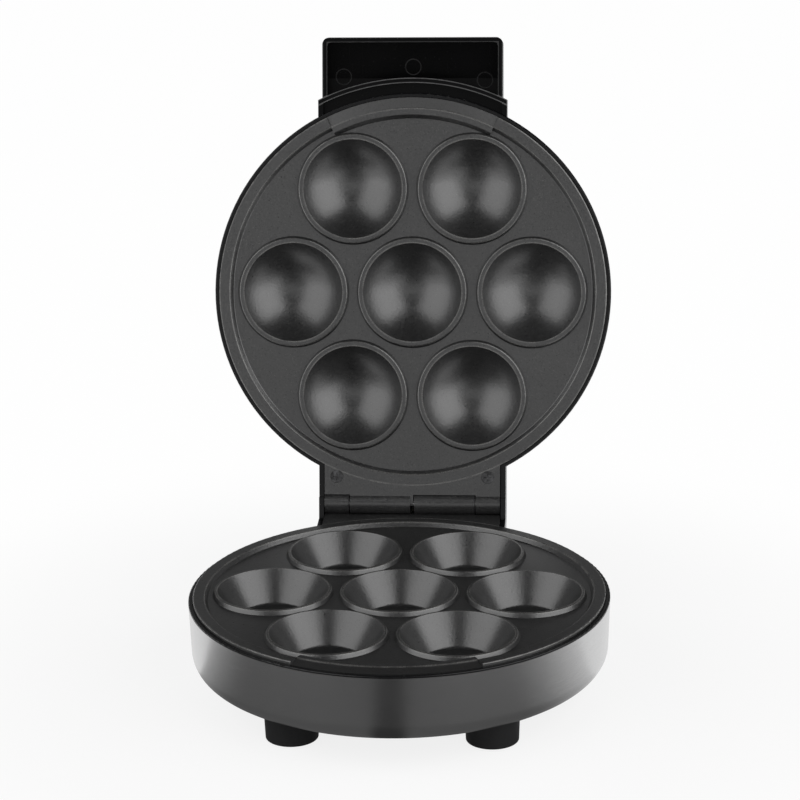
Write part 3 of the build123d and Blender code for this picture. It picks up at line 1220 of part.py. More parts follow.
def base_body_pieces():
    """Every piece of the base."""
    pieces = {
        "base_housing": make_base_housing(),
        "base_band": make_base_band(),
        "bottom_cover": make_bottom_cover(),
        "base_plate": make_base_plate(),
        "base_heater": Pos(0, 0, LIP_TOP) * heater(),
        "base_heater_clamp": Pos(0, 0, LIP_TOP) * heater_clamp(),
        "base_heater_screws": group([Pos(0, 0, LIP_TOP) * s for s in clamp_screws()]),
        "base_reflector": Pos(0, 0, LIP_TOP) * reflector(),
        "base_reflector_screws": group([Pos(0, 0, LIP_TOP) * s for s in reflector_screws()]),
        "base_plate_screws": screws_at([polar(COLUMN_AT, a) for a in COLUMN_ANGLES],
                                       COLUMN_FOOT_Z + COLUMN_SEAT_UP, COLUMN_SCREW_LEN),
        "hinge_block_screws": screws_at([(side * HINGE_SCREW_X, HINGE_SCREW_Y) for side in (-1, 1)],
                                        RIM_TOP - BLOCK_H + HINGE_SEAT_UP, HINGE_SCREW_LEN),
        "bottom_cover_screws": screws_at([polar(COVER_SCREW_AT, a) for a in COVER_SCREW_ANGLES],
                                         COVER_UNDER, COVER_SCREW_LEN),
        "foot_screws": screws_at(foot_places().values(), COVER_UNDER - FOOT_WEB, FOOT_SCREW_LEN),
        "thermostat": make_thermostat(),
        "thermostat_screws": make_thermostat_screws(),
        "thermal_fuse": make_thermal_fuse(),
        "fuse_clip": make_fuse_clip(),
        "fuse_screw": make_fuse_screw(),
        "terminal_block": make_terminal_block(),
        "terminal_block_screws": make_terminal_block_screws(),
        "cord_gland": make_cord_gland(),
        "hinge_pin": make_hinge_pin(),
        "heater_leads": make_base_leads(),
        "thermostat_lead": make_thermostat_lead(),
        "supply_lead": make_supply_lead(),
        "switched_lead": make_switched_lead(),
        "hinge_sleeve": make_hinge_sleeve(),
    }
    for name, (x, y) in foot_places().items():
        pieces["foot_" + name] = make_foot(x, y)
        pieces["foot_pad_" + name] = make_foot_pad(x, y)
    return pieces


def main():
    """Build every piece, centre the open machine over the origin and write one file per piece."""
    pieces = base_body_pieces()
    for name, shape in lid_body_pieces().items():
        pieces[name] = opened(shape)
    box = Compound(children=[Compound(list(shape.solids())) for shape in pieces.values()]).bounding_box()
    shift = -(box.min.Y + box.max.Y) / 2
    print(f"base axis y {shift:.3f}, hinge y {HINGE_Y + shift:.3f} z {HINGE_Z:.3f}, open {OPEN_DEG}")
    print(f"box {box.min} {box.max}")
    os.makedirs("parts", exist_ok=True)
    for name, shape in pieces.items():
        export_step(Pos(0, shift, 0) * shape, f"parts/{name}.step")


main()
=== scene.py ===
"""A round cupcake maker with its lid open: finishes, flexible sleeve, floor, light and camera."""

import json
import logging
import math
from abc import ABC, abstractmethod
from dataclasses import dataclass, field
from enum import Enum
from functools import reduce
from typing import NamedTuple

import bpy
import numpy as np
from mathutils import Matrix, Vector


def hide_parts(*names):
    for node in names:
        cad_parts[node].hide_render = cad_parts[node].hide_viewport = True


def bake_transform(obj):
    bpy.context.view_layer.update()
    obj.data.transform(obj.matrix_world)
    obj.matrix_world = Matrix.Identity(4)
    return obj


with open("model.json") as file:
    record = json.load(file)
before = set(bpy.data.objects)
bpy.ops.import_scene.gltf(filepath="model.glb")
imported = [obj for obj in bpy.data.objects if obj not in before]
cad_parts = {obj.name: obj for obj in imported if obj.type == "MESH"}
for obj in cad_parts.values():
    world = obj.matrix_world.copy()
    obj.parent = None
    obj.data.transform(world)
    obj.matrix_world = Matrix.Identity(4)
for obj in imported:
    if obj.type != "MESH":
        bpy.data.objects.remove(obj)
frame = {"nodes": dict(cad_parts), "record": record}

log = logging.getLogger("cupcake_maker")

Number = float | int
Pair = tuple[float, float]
Triple = tuple[float, float, float]
Colour = tuple[float, float, float]

WHITE = (1.0, 1.0, 1.0)


class Grain(NamedTuple):
    """A noise: its features per metre, its octaves and the weight of the finer octaves."""

    scale: float
    octaves: float = 3.0
    rough: float = 0.55


def grey(level: float) -> Colour:
    """A neutral colour."""
    return level, level, level


@dataclass(frozen=True)
class Layout:
    """Where the machine's own axes lie in the shared frame, in metres and degrees."""

    axis_y: float = -0.041862
    hinge_y: float = 0.063238
    hinge_z: float = 0.053
    open_deg: float = 103.7
    cup_face_z: float = 0.04845
    lid_face_z: float = 0.04875

    def opened(self, x: float, y: float, z: float) -> Vector:
        """Turn a place in the closed lid, measured from the base's axis, to the open lid.

        Args:
            x: Across, in metres.
            y: Towards the rear from the base's axis, in metres.
            z: Above the countertop, in metres.

        Returns:
            The place in the shared frame with the lid open.
        """
        lean = math.radians(self.open_deg)
        along = y + self.axis_y - self.hinge_y
        above = z - self.hinge_z
        return Vector((x, self.hinge_y + along * math.cos(lean) + above * math.sin(lean),
                       self.hinge_z - along * math.sin(lean) + above * math.cos(lean)))

    @property
    def lid_up(self) -> Vector:
        """The open lid's own upward axis, out through its crown."""
        lean = math.radians(self.open_deg)
        return Vector((0.0, math.sin(lean), math.cos(lean)))

    @property
    def lid_rearward(self) -> Vector:
        """The open lid's own rearward direction, towards the hinge."""
        lean = math.radians(self.open_deg)
        return Vector((0.0, math.cos(lean), -math.sin(lean)))


LAYOUT = Layout()


class Signal:
    """A number that varies over a surface; arithmetic on it adds Math nodes."""

    def __init__(self, board: "Board", socket: bpy.types.NodeSocket) -> None:
        """Wrap one output socket of a board's node tree."""
        self.board = board
        self.socket = socket

    def math(self, operation: str, *others: "Signal | Number") -> "Signal":
        """Apply one Math operation with this signal as its first value.

        Args:
            operation: The Math node's operation.
            others: The remaining values.

        Returns:
            The result.
        """
        values = dict(enumerate((self, *others)))
        made = self.board.node("ShaderNodeMath", {"operation": operation}, values)
        return Signal(self.board, made.outputs[0])

    def __add__(self, other: "Signal | Number") -> "Signal":
        """Sum."""
        return self.math("ADD", other)

    def __sub__(self, other: "Signal | Number") -> "Signal":
        """Difference."""
        return self.math("SUBTRACT", other)

    def __rsub__(self, other: Number) -> "Signal":
        """Difference, taken from a number."""
        return (self * -1.0) + other

    def __mul__(self, other: "Signal | Number") -> "Signal":
        """Product."""
        return self.math("MULTIPLY", other)

    def __truediv__(self, other: "Signal | Number") -> "Signal":
        """Quotient."""
        return self.math("DIVIDE", other)

    def __pow__(self, other: "Signal | Number") -> "Signal":
        """Power."""
        return self.math("POWER", other)

    def __abs__(self) -> "Signal":
        """Distance from zero."""
        return self.math("ABSOLUTE")

    def least(self, *others: "Signal") -> "Signal":
        """The smallest of this signal and the others."""
        return reduce(lambda low, other: low.math("MINIMUM", other), others, self)

    def hypot(self, other: "Signal") -> "Signal":
        """The distance spanned by this signal and another that is square to it."""
        return (self * self + other * other) ** 0.5

    def wave(self) -> "Signal":
        """The sine of this signal, brought from -1..1 to 0..1."""
        return self.math("SINE") * 0.5 + 0.5

    def step(self, low: float, high: float) -> "Signal":
        """Rise smoothly from 0 at low to 1 at high; with low above high it falls.

        Args:
            low: The value that gives 0.
            high: The value that gives 1.

        Returns:
            The smoothed step.
        """
        start, stop, first, last = (low, high, 0.0, 1.0) if low < high else (high, low, 1.0, 0.0)
        made = self.board.node("ShaderNodeMapRange", {"interpolation_type": "SMOOTHSTEP", "clamp": True},
                               {0: self, 1: start, 2: stop, 3: first, 4: last})
        return Signal(self.board, made.outputs[0])


class Board:
    """A node tree, with the one method that makes its nodes."""

    def __init__(self, tree: bpy.types.NodeTree) -> None:
        """Empty the tree.

        Args:
            tree: The node tree.
        """
        self.tree = tree
        self.tree.nodes.clear()
        self._place: bpy.types.NodeSocket | None = None

    def fill(self, socket: bpy.types.NodeSocket, value: object) -> None:
        """Link a signal or another node's output to a socket, or write a plain value into it.

        Args:
            socket: The socket.
            value: The signal, output or plain value.
        """
        source = value.socket if isinstance(value, Signal) else value
        if isinstance(source, bpy.types.NodeSocket):
            self.tree.links.new(source, socket)
        else:
            socket.default_value = source

    def node(self, kind: str, settings: dict[str, object] | None = None,
             values: dict[int | str, object] | None = None) -> bpy.types.Node:
        """Make a node, set its settings first and then fill its sockets.

        Args:
            kind: The node's type.
            settings: Its own settings.
            values: A number, colour, socket or signal for each socket, by place or name.

        Returns:
            The node.
        """
        made = self.tree.nodes.new(kind)
        for key, value in (settings or {}).items():
            setattr(made, key, value)
        for key, value in (values or {}).items():
            self.fill(made.inputs[key], value)
        return made

    def place(self) -> bpy.types.NodeSocket:
        """The surface point in the piece's own coordinates."""
        if self._place is None:
            self._place = self.node("ShaderNodeTexCoord").outputs["Object"]
        return self._place

    def ray(self, *kinds: str) -> Signal:
        """Tell rays of the given kinds from all others.

        Args:
            kinds: The kinds, as the Light Path node names them.

        Returns:
            One for rays of any of the kinds and otherwise zero.
        """
        path = self.node("ShaderNodeLightPath")
        first, *rest = (Signal(self, path.outputs[kind]) for kind in kinds)
        return reduce(lambda high, other: high.math("MAXIMUM", other), rest, first)

    def blend(self, factor: Signal, low: bpy.types.NodeSocket,
              high: bpy.types.NodeSocket) -> bpy.types.NodeSocket:
        """A shader that goes from one to another."""
        return self.node("ShaderNodeMixShader", None, {0: factor, 1: low, 2: high}).outputs[0]

    def split(self, vector: bpy.types.NodeSocket) -> tuple[Signal, Signal, Signal]:
        """The three numbers of a vector."""
        made = self.node("ShaderNodeSeparateXYZ", None, {0: vector})
        return Signal(self, made.outputs[0]), Signal(self, made.outputs[1]), Signal(self, made.outputs[2])

    def stretched(self, parts: tuple[Signal, Signal, Signal], factors: Triple) -> bpy.types.NodeSocket:
        """A vector of three numbers, each times its own factor."""
        values = {place: part * factor for place, (part, factor) in enumerate(zip(parts, factors))}
        return self.node("ShaderNodeCombineXYZ", None, values).outputs[0]

    def along(self, origin: Vector, way: Vector) -> Signal:
        """Measure how far the surface point lies from an origin along a direction.

        Args:
            origin: The origin, in metres.
            way: The direction, of unit length.

        Returns:
            The distance, negative on the near side of the origin.
        """
        offset = self.node("ShaderNodeVectorMath", {"operation": "SUBTRACT"},
                           {0: self.place(), 1: tuple(origin)})
        dot = self.node("ShaderNodeVectorMath", {"operation": "DOT_PRODUCT"},
                        {0: offset.outputs[0], 1: tuple(way)})
        return Signal(self, dot.outputs["Value"])

    def noise(self, grain: Grain, at: bpy.types.NodeSocket | None = None) -> Signal:
        """Smooth noise from 0 to 1.

        Args:
            grain: The noise's scale and octaves.
            at: Where it is read; the surface point if not given.

        Returns:
            The noise.
        """
        made = self.node("ShaderNodeTexNoise", {"noise_dimensions": "3D"},
                         {"Vector": at or self.place(), "Scale": grain.scale, "Detail": grain.octaves,
                          "Roughness": grain.rough})
        return Signal(self, made.outputs[0])

    def cells(self, scale: float) -> Signal:
        """Distance to the nearest of scattered points, in cell widths."""
        made = self.node("ShaderNodeTexVoronoi", {"feature": "F1"}, {"Vector": self.place(), "Scale": scale})
        return Signal(self, made.outputs["Distance"])

    def tint(self, factor: Signal, low: Colour | bpy.types.NodeSocket, high: Colour) -> bpy.types.NodeSocket:
        """A colour that goes from one, which may itself vary, to another."""
        start = low if isinstance(low, bpy.types.NodeSocket) else (*low, 1.0)
        return self.node("ShaderNodeMix", {"data_type": "RGBA", "clamp_factor": True},
                         {0: factor, 6: start, 7: (*high, 1.0)}).outputs[2]


class Bench(Board):
    """One material's node tree, with its shader."""

    def __init__(self, name: str) -> None:
        """Make a material with a shader and an output.

        Args:
            name: The material's name.
        """
        self.material = bpy.data.materials.new(name)
        self.material.use_nodes = True
        super().__init__(self.material.node_tree)
        self.output = self.node("ShaderNodeOutputMaterial")
        self.shader = self.node("ShaderNodeBsdfPrincipled")
        self.fill(self.output.inputs["Surface"], self.shader.outputs[0])

    def relief(self, height: Signal, depth: float, strength: float = 1.0) -> None:
        """Let a height, times a depth in metres, bump the surface."""
        made = self.node("ShaderNodeBump", None, {"Strength": strength, "Distance": depth, "Height": height})
        self.fill(self.shader.inputs["Normal"], made.outputs[0])

    def dress(self, **values: object) -> None:
        """Fill the shader's sockets.

        Args:
            values: What goes into each socket, named in words joined by underscores; a triple is a colour.
        """
        for key, value in values.items():
            triple = isinstance(value, tuple) and len(value) == 3
            self.fill(self.shader.inputs[key.replace("_", " ")], (*value, 1.0) if triple else value)


def weigh(weights: tuple[float, ...], *parts: Signal) -> Signal:
    """Add up signals, each times its own weight."""
    return reduce(lambda total, part: total + part, (part * weight for part, weight in zip(parts, weights)))


@dataclass(frozen=True)
class Axes:
    """A round piece's own axes: its centre, the way out of its face and the way to its rear."""

    origin: Vector
    out: Vector
    side: Vector

    def read(self, bench: Bench) -> tuple[Signal, Signal, Signal, Signal]:
        """Measure the surface point in these axes.

        Args:
            bench: The material's node tree.

        Returns:
            How far it lies across, to the rear and outward, and its distance from the axis.
        """
        across = bench.along(self.origin, Vector((1.0, 0.0, 0.0)))
        rearward = bench.along(self.origin, self.side)
        outward = bench.along(self.origin, self.out)
        return across, rearward, outward, across.hypot(rearward)


@dataclass(frozen=True)
class Finish(ABC):
    """A finish that can be put on a piece.

    In every finish lengths are in metres, and a pair holds the values at which a smooth step gives 0 and 1.
    A mix holds the weights of the signals that are added up. A share is how much of a colour covers the last.
    """

    name: str

    def material(self) -> bpy.types.Material:
        """Build the finish's material.

        Returns:
            The material.
        """
        bench = Bench(self.name)
        self.shade(bench)
        return bench.material

    @abstractmethod
    def shade(self, bench: Bench) -> None:
        """Wire the finish's nodes.

        Args:
            bench: The material's node tree.
        """


@dataclass(frozen=True)
class NonStickCoating(Finish):
    """Charcoal non-stick coating on a cast plate: satin and finely speckled, with painted highlight lines
    along its rims and painted shade on its outer slope.
    """

    axes: Axes
    hollow_rims: Pair = (0.0262, 0.0273)
    plate_rims: Pair = (0.0905, 0.0957)
    pitch: float = 0.059
    hollows_round: int = 6
    rim_edge: Pair = (0.00050, 0.00012)
    rim_height: Pair = (-0.0009, -0.0004)
    rim_highlight_noise: Grain = Grain(160.0)
    rim_highlight_spread: Pair = (0.25, 0.6)
    slope_start: Pair = (0.0909, 0.0913)
    slope_height: Pair = (-0.0003, -0.0006)
    dark: Colour = (0.005, 0.005, 0.0052)
    light: Colour = (0.022, 0.022, 0.0222)
    speck: Colour = (0.15, 0.148, 0.14)
    # painted highlight: the light grey of the thin lines along the rims
    painted_highlight: Colour = (0.15, 0.148, 0.143)
    # painted shade: the near-black tone laid on the outer slope
    slope_painted_shade: Colour = (0.006, 0.006, 0.006)
    broad: Grain = Grain(28.0)
    grain: Grain = Grain(1150.0, 2.0, 0.6)
    peel: Grain = Grain(620.0, 2.0, 0.5)
    mottle: Pair = (0.3, 0.75)
    speck_scale: float = 1100.0
    speck_size: Pair = (0.26, 0.10)
    speck_spread: Pair = (0.45, 0.6)
    tone_mix: Pair = (0.3, 0.7)
    speck_share: float = 0.8
    slope_painted_shade_share: float = 0.95
    painted_highlight_share: float = 0.75
    rough_mix: tuple[float, ...] = (0.20, 0.04, 0.12, -0.05)
    metal_mix: Pair = (0.4, 0.4)
    relief_mix: Pair = (0.5, 0.6)
    roughness: float = 0.20
    refraction: float = 1.6
    gloss: float = 1.0
    depth: float = 0.00009

    def rims(self, radius: Signal, turn: Signal) -> Signal:
        """Find the rims that get painted highlight lines: rings about every hollow and about the plate.

        With r and a the polar place in the plate, the nearest outer hollow lies at the pitch p and at the
        angle f that is left when a is folded into half a sector, so its distance is
        sqrt(r^2 + p^2 - 2 r p cos f).

        Args:
            radius: Distance from the plate's axis.
            turn: Angle about the plate's axis.

        Returns:
            One on a rim and zero elsewhere.
        """
        fold = turn.math("PINGPONG", math.pi / self.hollows_round)
        outer = (radius * radius + self.pitch ** 2
                 - radius * fold.math("COSINE") * (2.0 * self.pitch)) ** 0.5
        near = radius.least(outer)
        first, *rest = ([abs(near - rim) for rim in self.hollow_rims]
                        + [abs(radius - rim) for rim in self.plate_rims])
        return first.least(*rest).step(*self.rim_edge)

    def shade(self, bench: Bench) -> None:
        """Mottle the colour, scatter fine specks, paint highlight lines on the rims, paint shade on the outer
        slope and raise the grain.

        Args:
            bench: The material's node tree.
        """
        x, y, out, radius = self.axes.read(bench)
        # Painted highlight: thin light lines along the rims, broken up by noise, stand in for the light their
        # edges catch.
        painted_highlight = self.rims(radius, y.math("ARCTAN2", x)) * out.step(*self.rim_height)
        painted_highlight = painted_highlight * bench.noise(self.rim_highlight_noise).step(*self.rim_highlight_spread)
        slope = radius.step(*self.slope_start) * out.step(*self.slope_height)
        broad = bench.noise(self.broad)
        grain = bench.noise(self.grain)
        peel = bench.noise(self.peel)
        specks = bench.cells(self.speck_scale).step(*self.speck_size)
        tone = weigh(self.tone_mix, broad, grain).step(*self.mottle)
        colour = bench.tint(tone, self.dark, self.light)
        colour = bench.tint(specks * grain.step(*self.speck_spread) * self.speck_share, colour, self.speck)
        # Painted shade: the outer slope is darkened almost to black; its mask also roughens it.
        colour = bench.tint(slope * self.slope_painted_shade_share, colour, self.slope_painted_shade)
        # painted highlight on the rims
        colour = bench.tint(painted_highlight * self.painted_highlight_share, colour, self.painted_highlight)
        rough = weigh(self.rough_mix, grain, peel, slope, painted_highlight) + self.roughness
        bench.dress(Base_Color=colour, Roughness=rough, Metallic=weigh(self.metal_mix, specks, painted_highlight),
                    IOR=self.refraction, Specular_IOR_Level=self.gloss)
        bench.relief(weigh(self.relief_mix, grain, peel), self.depth)


@dataclass(frozen=True)
class MouldedPlastic(Finish):
    """Black moulded plastic with a slight flow waviness, dust specks and hairline rubs."""

    dark: Colour = (0.0022, 0.0022, 0.0024)
    light: Colour = (0.0055, 0.0055, 0.006)
    dust_tone: Colour = (0.06, 0.06, 0.062)
    # painted highlight: the grey of the lines along lit edges
    edge_highlight_tone: Colour = (0.10, 0.10, 0.10)
    roughness: float = 0.20
    texture: float = 0.0
    gloss: float = 0.3
    broad: Grain = Grain(22.0)
    wave: Grain = Grain(90.0, 1.0)
    grain: Grain = Grain(1500.0, 2.0, 0.6)
    # noise that breaks up the painted edge highlights
    highlight_noise: Grain = Grain(300.0)
    hairs: Grain = Grain(1.0, 2.0, 0.6)
    hair_stretch: Triple = (900.0, 60.0, 60.0)
    hair_spread: Pair = (0.62, 0.72)
    dust_scale: float = 420.0
    dust_size: Pair = (0.09, 0.03)
    dust_share: float = 0.25
    highlight_noise_depth: float = 0.8
    highlight_noise_floor: float = 0.45
    rough_mix: Triple = (0.07, 0.05, 0.2)
    texture_rough: float = 0.2
    relief_mix: Pair = (0.25, 0.10)
    depth: float = 0.00008

    def painted_highlight(self, bench: Bench) -> Signal | None:
        """Where its edges get painted highlight lines; nowhere on a plain moulding."""
        return None

    def shade(self, bench: Bench) -> None:
        """Vary the gloss in broad patches, with hairline rubs, a moulded texture and any painted edge
        highlights.

        Args:
            bench: The material's node tree.
        """
        broad = bench.noise(self.broad)
        wave = bench.noise(self.wave)
        grain = bench.noise(self.grain)
        at = bench.stretched(bench.split(bench.place()), self.hair_stretch)
        hairs = bench.noise(self.hairs, at).step(*self.hair_spread)
        dust = bench.cells(self.dust_scale).step(*self.dust_size)
        colour = bench.tint(broad, self.dark, self.light)
        colour = bench.tint(dust * self.dust_share, colour, self.dust_tone)
        edges = self.painted_highlight(bench)
        # Painted highlight: grey lines along the edges, broken up by noise, stand in for the light the edges
        # catch.
        if edges is not None:
            highlight_noise = bench.noise(self.highlight_noise) * self.highlight_noise_depth + self.highlight_noise_floor
            colour = bench.tint(edges * highlight_noise, colour, self.edge_highlight_tone)
        rough = weigh(self.rough_mix, broad, hairs, dust)
        bench.dress(Base_Color=colour, Roughness=rough + (self.roughness + self.texture * self.texture_rough),
                    Specular_IOR_Level=self.gloss)
        bench.relief(weigh(self.relief_mix, wave, grain) + grain * self.texture, self.depth)


@dataclass(frozen=True)
class TrayPlastic(MouldedPlastic):
    """The handle's moulding: a shallow tray whose rim, arch and moulding marks get painted highlight lines, a
    little grey.

    Each mark is its centre's place across and its distance from the handle's tip.
    """

    axes: Axes = field(kw_only=True)
    half_width: float = 0.0445
    reach: float = 0.1254
    outline_insets: Pair = (0.0002, 0.0024)
    outline_edge: Pair = (0.00045, 0.0001)
    outline_highlight: float = 0.45
    arch_radii: Pair = (0.1055, 0.1032)
    arch_edge: Pair = (0.0005, 0.00015)
    arch_highlight: float = 0.9
    marks: tuple[Pair, ...] = ((-0.0002, 0.0142), (-0.0348, 0.0190), (0.0353, 0.0207))
    mark_radius: float = 0.0038
    mark_edge: Pair = (0.0004, 0.0001)
    mark_highlight: float = 0.24
    tray_start: Pair = (0.1050, 0.1055)
    face_depth: Pair = (0.00245, 0.00195)
    inside_depth: Pair = (0.00455, 0.00555)

    def painted_highlight(self, bench: Bench) -> Signal:
        """Add up painted highlight lines along the tray's outline, its arch and its round moulding marks.

        The outline is where max(|x| - w, -y - reach) is 0, the arch is a ring about the lid's axis and a mark
        is a ring about its own centre. Outline and arch count on the rim's face only, and marks only inside
        the tray.

        Args:
            bench: The material's node tree.

        Returns:
            How strong the painted highlight is at each place.
        """
        x, y, out, radius = self.axes.read(bench)
        depth = out * -1.0
        beyond_side, beyond_tip = abs(x) - self.half_width, y * -1.0 - self.reach
        outer, inner = (abs((beyond_side + inset).math("MAXIMUM", beyond_tip + inset))
                        for inset in self.outline_insets)
        outline = outer.least(inner).step(*self.outline_edge) * radius.step(*self.tray_start)
        front, back = (abs(radius - ring) for ring in self.arch_radii)
        arch = front.least(back).step(*self.arch_edge)
        rings = []
        for across, from_tip in self.marks:
            centre_distance = (x - across).hypot(y + (self.reach - from_tip))
            rings.append(abs(centre_distance - self.mark_radius))
        mark = rings[0].least(*rings[1:]).step(*self.mark_edge) * depth.step(*self.inside_depth)
        face = depth.step(*self.face_depth)
        # painted highlight lines on the rim's face, the arch and the marks
        return outline * face * self.outline_highlight + arch * face * self.arch_highlight + mark * self.mark_highlight


@dataclass(frozen=True)
class BrushedSheet(Finish):
    """Thin metal sheet brushed round an axis."""

    axes: Axes
    dark: Colour = (0.55, 0.55, 0.552)
    light: Colour = (0.61, 0.61, 0.612)
    roughness: float = 0.20
    lines: Grain = Grain(1.0, 3.0, 0.7)
    line_stretch: Triple = (5.0, 5200.0, 5200.0)
    strokes: Grain = Grain(1.0, 2.0, 0.6)
    stroke_stretch: Triple = (16.0, 1500.0, 1500.0)
    smudge: Grain = Grain(16.0)
    contrast: Pair = (0.25, 0.75)
    tone_mix: Pair = (0.55, 0.45)
    rough_mix: Pair = (0.06, 0.05)
    relief_mix: Pair = (0.7, 0.5)
    depth: float = 0.000004

    def shade(self, bench: Bench) -> None:
        """Read noise stretched round the axis: long along the angle, very short along height and radius.

        Args:
            bench: The material's node tree.
        """
        x, y, height, radius = self.axes.read(bench)
        place = y.math("ARCTAN2", x), height, radius
        lines = bench.noise(self.lines, bench.stretched(place, self.line_stretch))
        strokes = bench.noise(self.strokes, bench.stretched(place, self.stroke_stretch))
        smudge = bench.noise(self.smudge)
        tone = weigh(self.tone_mix, lines, strokes)
        bench.dress(Base_Color=bench.tint(tone.step(*self.contrast), self.dark, self.light), Metallic=1.0,
                    Roughness=weigh(self.rough_mix, tone, smudge) + self.roughness)
        bench.relief(weigh(self.relief_mix, lines, strokes), self.depth)


@dataclass(frozen=True)
class PlatedSteel(Finish):
    """Small steel hardware: bright or darkened plating, dulled in patches."""

    dark: Colour = (0.36, 0.36, 0.35)
    light: Colour = (0.62, 0.62, 0.60)
    roughness: float = 0.20
    patch: Grain = Grain(420.0, 4.0)
    marks: Grain = Grain(2600.0, 2.0)
    contrast: Pair = (0.3, 0.7)
    rough_mix: Pair = (0.16, 0.06)
    relief_mix: Pair = (0.5, 0.5)
    depth: float = 0.00002

    def shade(self, bench: Bench) -> None:
        """Mottle the plating and add fine tool marks.

        Args:
            bench: The material's node tree.
        """
        patch = bench.noise(self.patch)
        marks = bench.noise(self.marks)
        bench.dress(Base_Color=bench.tint(patch.step(*self.contrast), self.dark, self.light), Metallic=1.0,
                    Roughness=weigh(self.rough_mix, patch, marks) + self.roughness)
        bench.relief(weigh(self.relief_mix, marks, patch), self.depth)


@dataclass(frozen=True)
class RolledAluminium(Finish):
    """Rolled sheet with a straight grain along X."""

    dark: Colour = (0.55, 0.55, 0.56)
    light: Colour = (0.76, 0.76, 0.77)
    roughness: float = 0.18
    grain: Grain = Grain(1.0, 3.0, 0.6)
    stretch: Triple = (20.0, 1800.0, 1800.0)
    stain: Grain = Grain(40.0)
    tone_mix: Pair = (0.6, 0.4)
    rough_mix: Pair = (0.14, 0.1)
    depth: float = 0.000015

    def shade(self, bench: Bench) -> None:
        """Stretch the noise along the rolling direction.

        Args:
            bench: The material's node tree.
        """
        grain = bench.noise(self.grain, bench.stretched(bench.split(bench.place()), self.stretch))
        stain = bench.noise(self.stain)
        tone = weigh(self.tone_mix, grain, stain)
        bench.dress(Base_Color=bench.tint(tone, self.dark, self.light), Metallic=1.0,
                    Roughness=weigh(self.rough_mix, grain, stain) + self.roughness)
        bench.relief(grain, self.depth)


@dataclass(frozen=True)
class HeatTintedTube(Finish):
    """Stainless heater tube, straw to blue-grey where it has been hot."""

    cold: Colour = (0.33, 0.31, 0.28)
    hot: Colour = (0.15, 0.14, 0.16)
    metal: float = 0.9
    roughness: float = 0.28
    band: Grain = Grain(70.0)
    scale: Grain = Grain(1500.0, 2.0)
    contrast: Pair = (0.45, 0.8)
    heat_mix: Pair = (1.0, 0.3)
    rough_mix: Pair = (0.1, 0.15)
    depth: float = 0.00002

    def shade(self, bench: Bench) -> None:
        """Blend the heat colours in bands of noise.

        Args:
            bench: The material's node tree.
        """
        band = bench.noise(self.band)
        scale = bench.noise(self.scale)
        heat = weigh(self.heat_mix, band, scale).step(*self.contrast)
        bench.dress(Base_Color=bench.tint(heat, self.cold, self.hot), Metallic=self.metal,
                    Roughness=weigh(self.rough_mix, band, scale) + self.roughness)
        bench.relief(scale, self.depth)


@dataclass(frozen=True)
class Rubber(Finish):
    """Matt black rubber with a fine ground texture."""

    dark: Colour = (0.012, 0.012, 0.012)
    light: Colour = (0.028, 0.028, 0.028)
    roughness: float = 0.62
    grain: Grain = Grain(1400.0)
    chalk: Grain = Grain(120.0)
    chalk_spread: Pair = (0.4, 0.8)
    tone_mix: Pair = (0.5, 0.5)
    grain_rough: float = 0.2
    depth: float = 0.00006

    def shade(self, bench: Bench) -> None:
        """Mottle and roughen the rubber.

        Args:
            bench: The material's node tree.
        """
        grain = bench.noise(self.grain)
        tone = weigh(self.tone_mix, grain, bench.noise(self.chalk).step(*self.chalk_spread))
        bench.dress(Base_Color=bench.tint(tone, self.dark, self.light),
                    Roughness=grain * self.grain_rough + self.roughness)
        bench.relief(grain, self.depth)


@dataclass(frozen=True)
class WovenSleeving(Finish):
    """Woven glass sleeving: crossing threads, a little yellowed."""

    dark: Colour = (0.52, 0.50, 0.43)
    light: Colour = (0.80, 0.78, 0.72)
    roughness: float = 0.66
    thread: float = 5200.0
    soil: Grain = Grain(180.0)
    tone_mix: Pair = (0.6, 0.4)
    weave_rough: float = 0.1
    depth: float = 0.00015

    def shade(self, bench: Bench) -> None:
        """Cross two sets of sine threads and soil them.

        Args:
            bench: The material's node tree.
        """
        x, y, z = bench.split(bench.place())
        over = ((x + y + z) * self.thread).wave()
        under = ((x - y - z) * self.thread).wave()
        weave = over.math("MAXIMUM", under)
        tone = weigh(self.tone_mix, weave, bench.noise(self.soil))
        bench.dress(Base_Color=bench.tint(tone, self.dark, self.light),
                    Roughness=weave * self.weave_rough + self.roughness)
        bench.relief(weave, self.depth)


@dataclass(frozen=True)
class TintedLens(Finish):
    """Clear coloured plastic with moulded facets under the surface."""

    dark: Colour = (0.30, 0.01, 0.01)
    light: Colour = (0.70, 0.03, 0.02)
    roughness: float = 0.08
    clearness: float = 0.55
    refraction: float = 1.49
    facet_scale: float = 900.0
    facet_edge: Pair = (0.1, 0.7)
    haze: Grain = Grain(260.0, 2.0)
    haze_rough: float = 0.08
    depth: float = 0.00005
    strength: float = 0.5

    def shade(self, bench: Bench) -> None:
        """Ring the colour with faint moulded facets.

        Args:
            bench: The material's node tree.
        """
        facets = bench.cells(self.facet_scale)
        bench.dress(Base_Color=bench.tint(facets.step(*self.facet_edge), self.light, self.dark),
                    Roughness=bench.noise(self.haze) * self.haze_rough + self.roughness,
                    Transmission_Weight=self.clearness, IOR=self.refraction)
        bench.relief(facets, self.depth, self.strength)


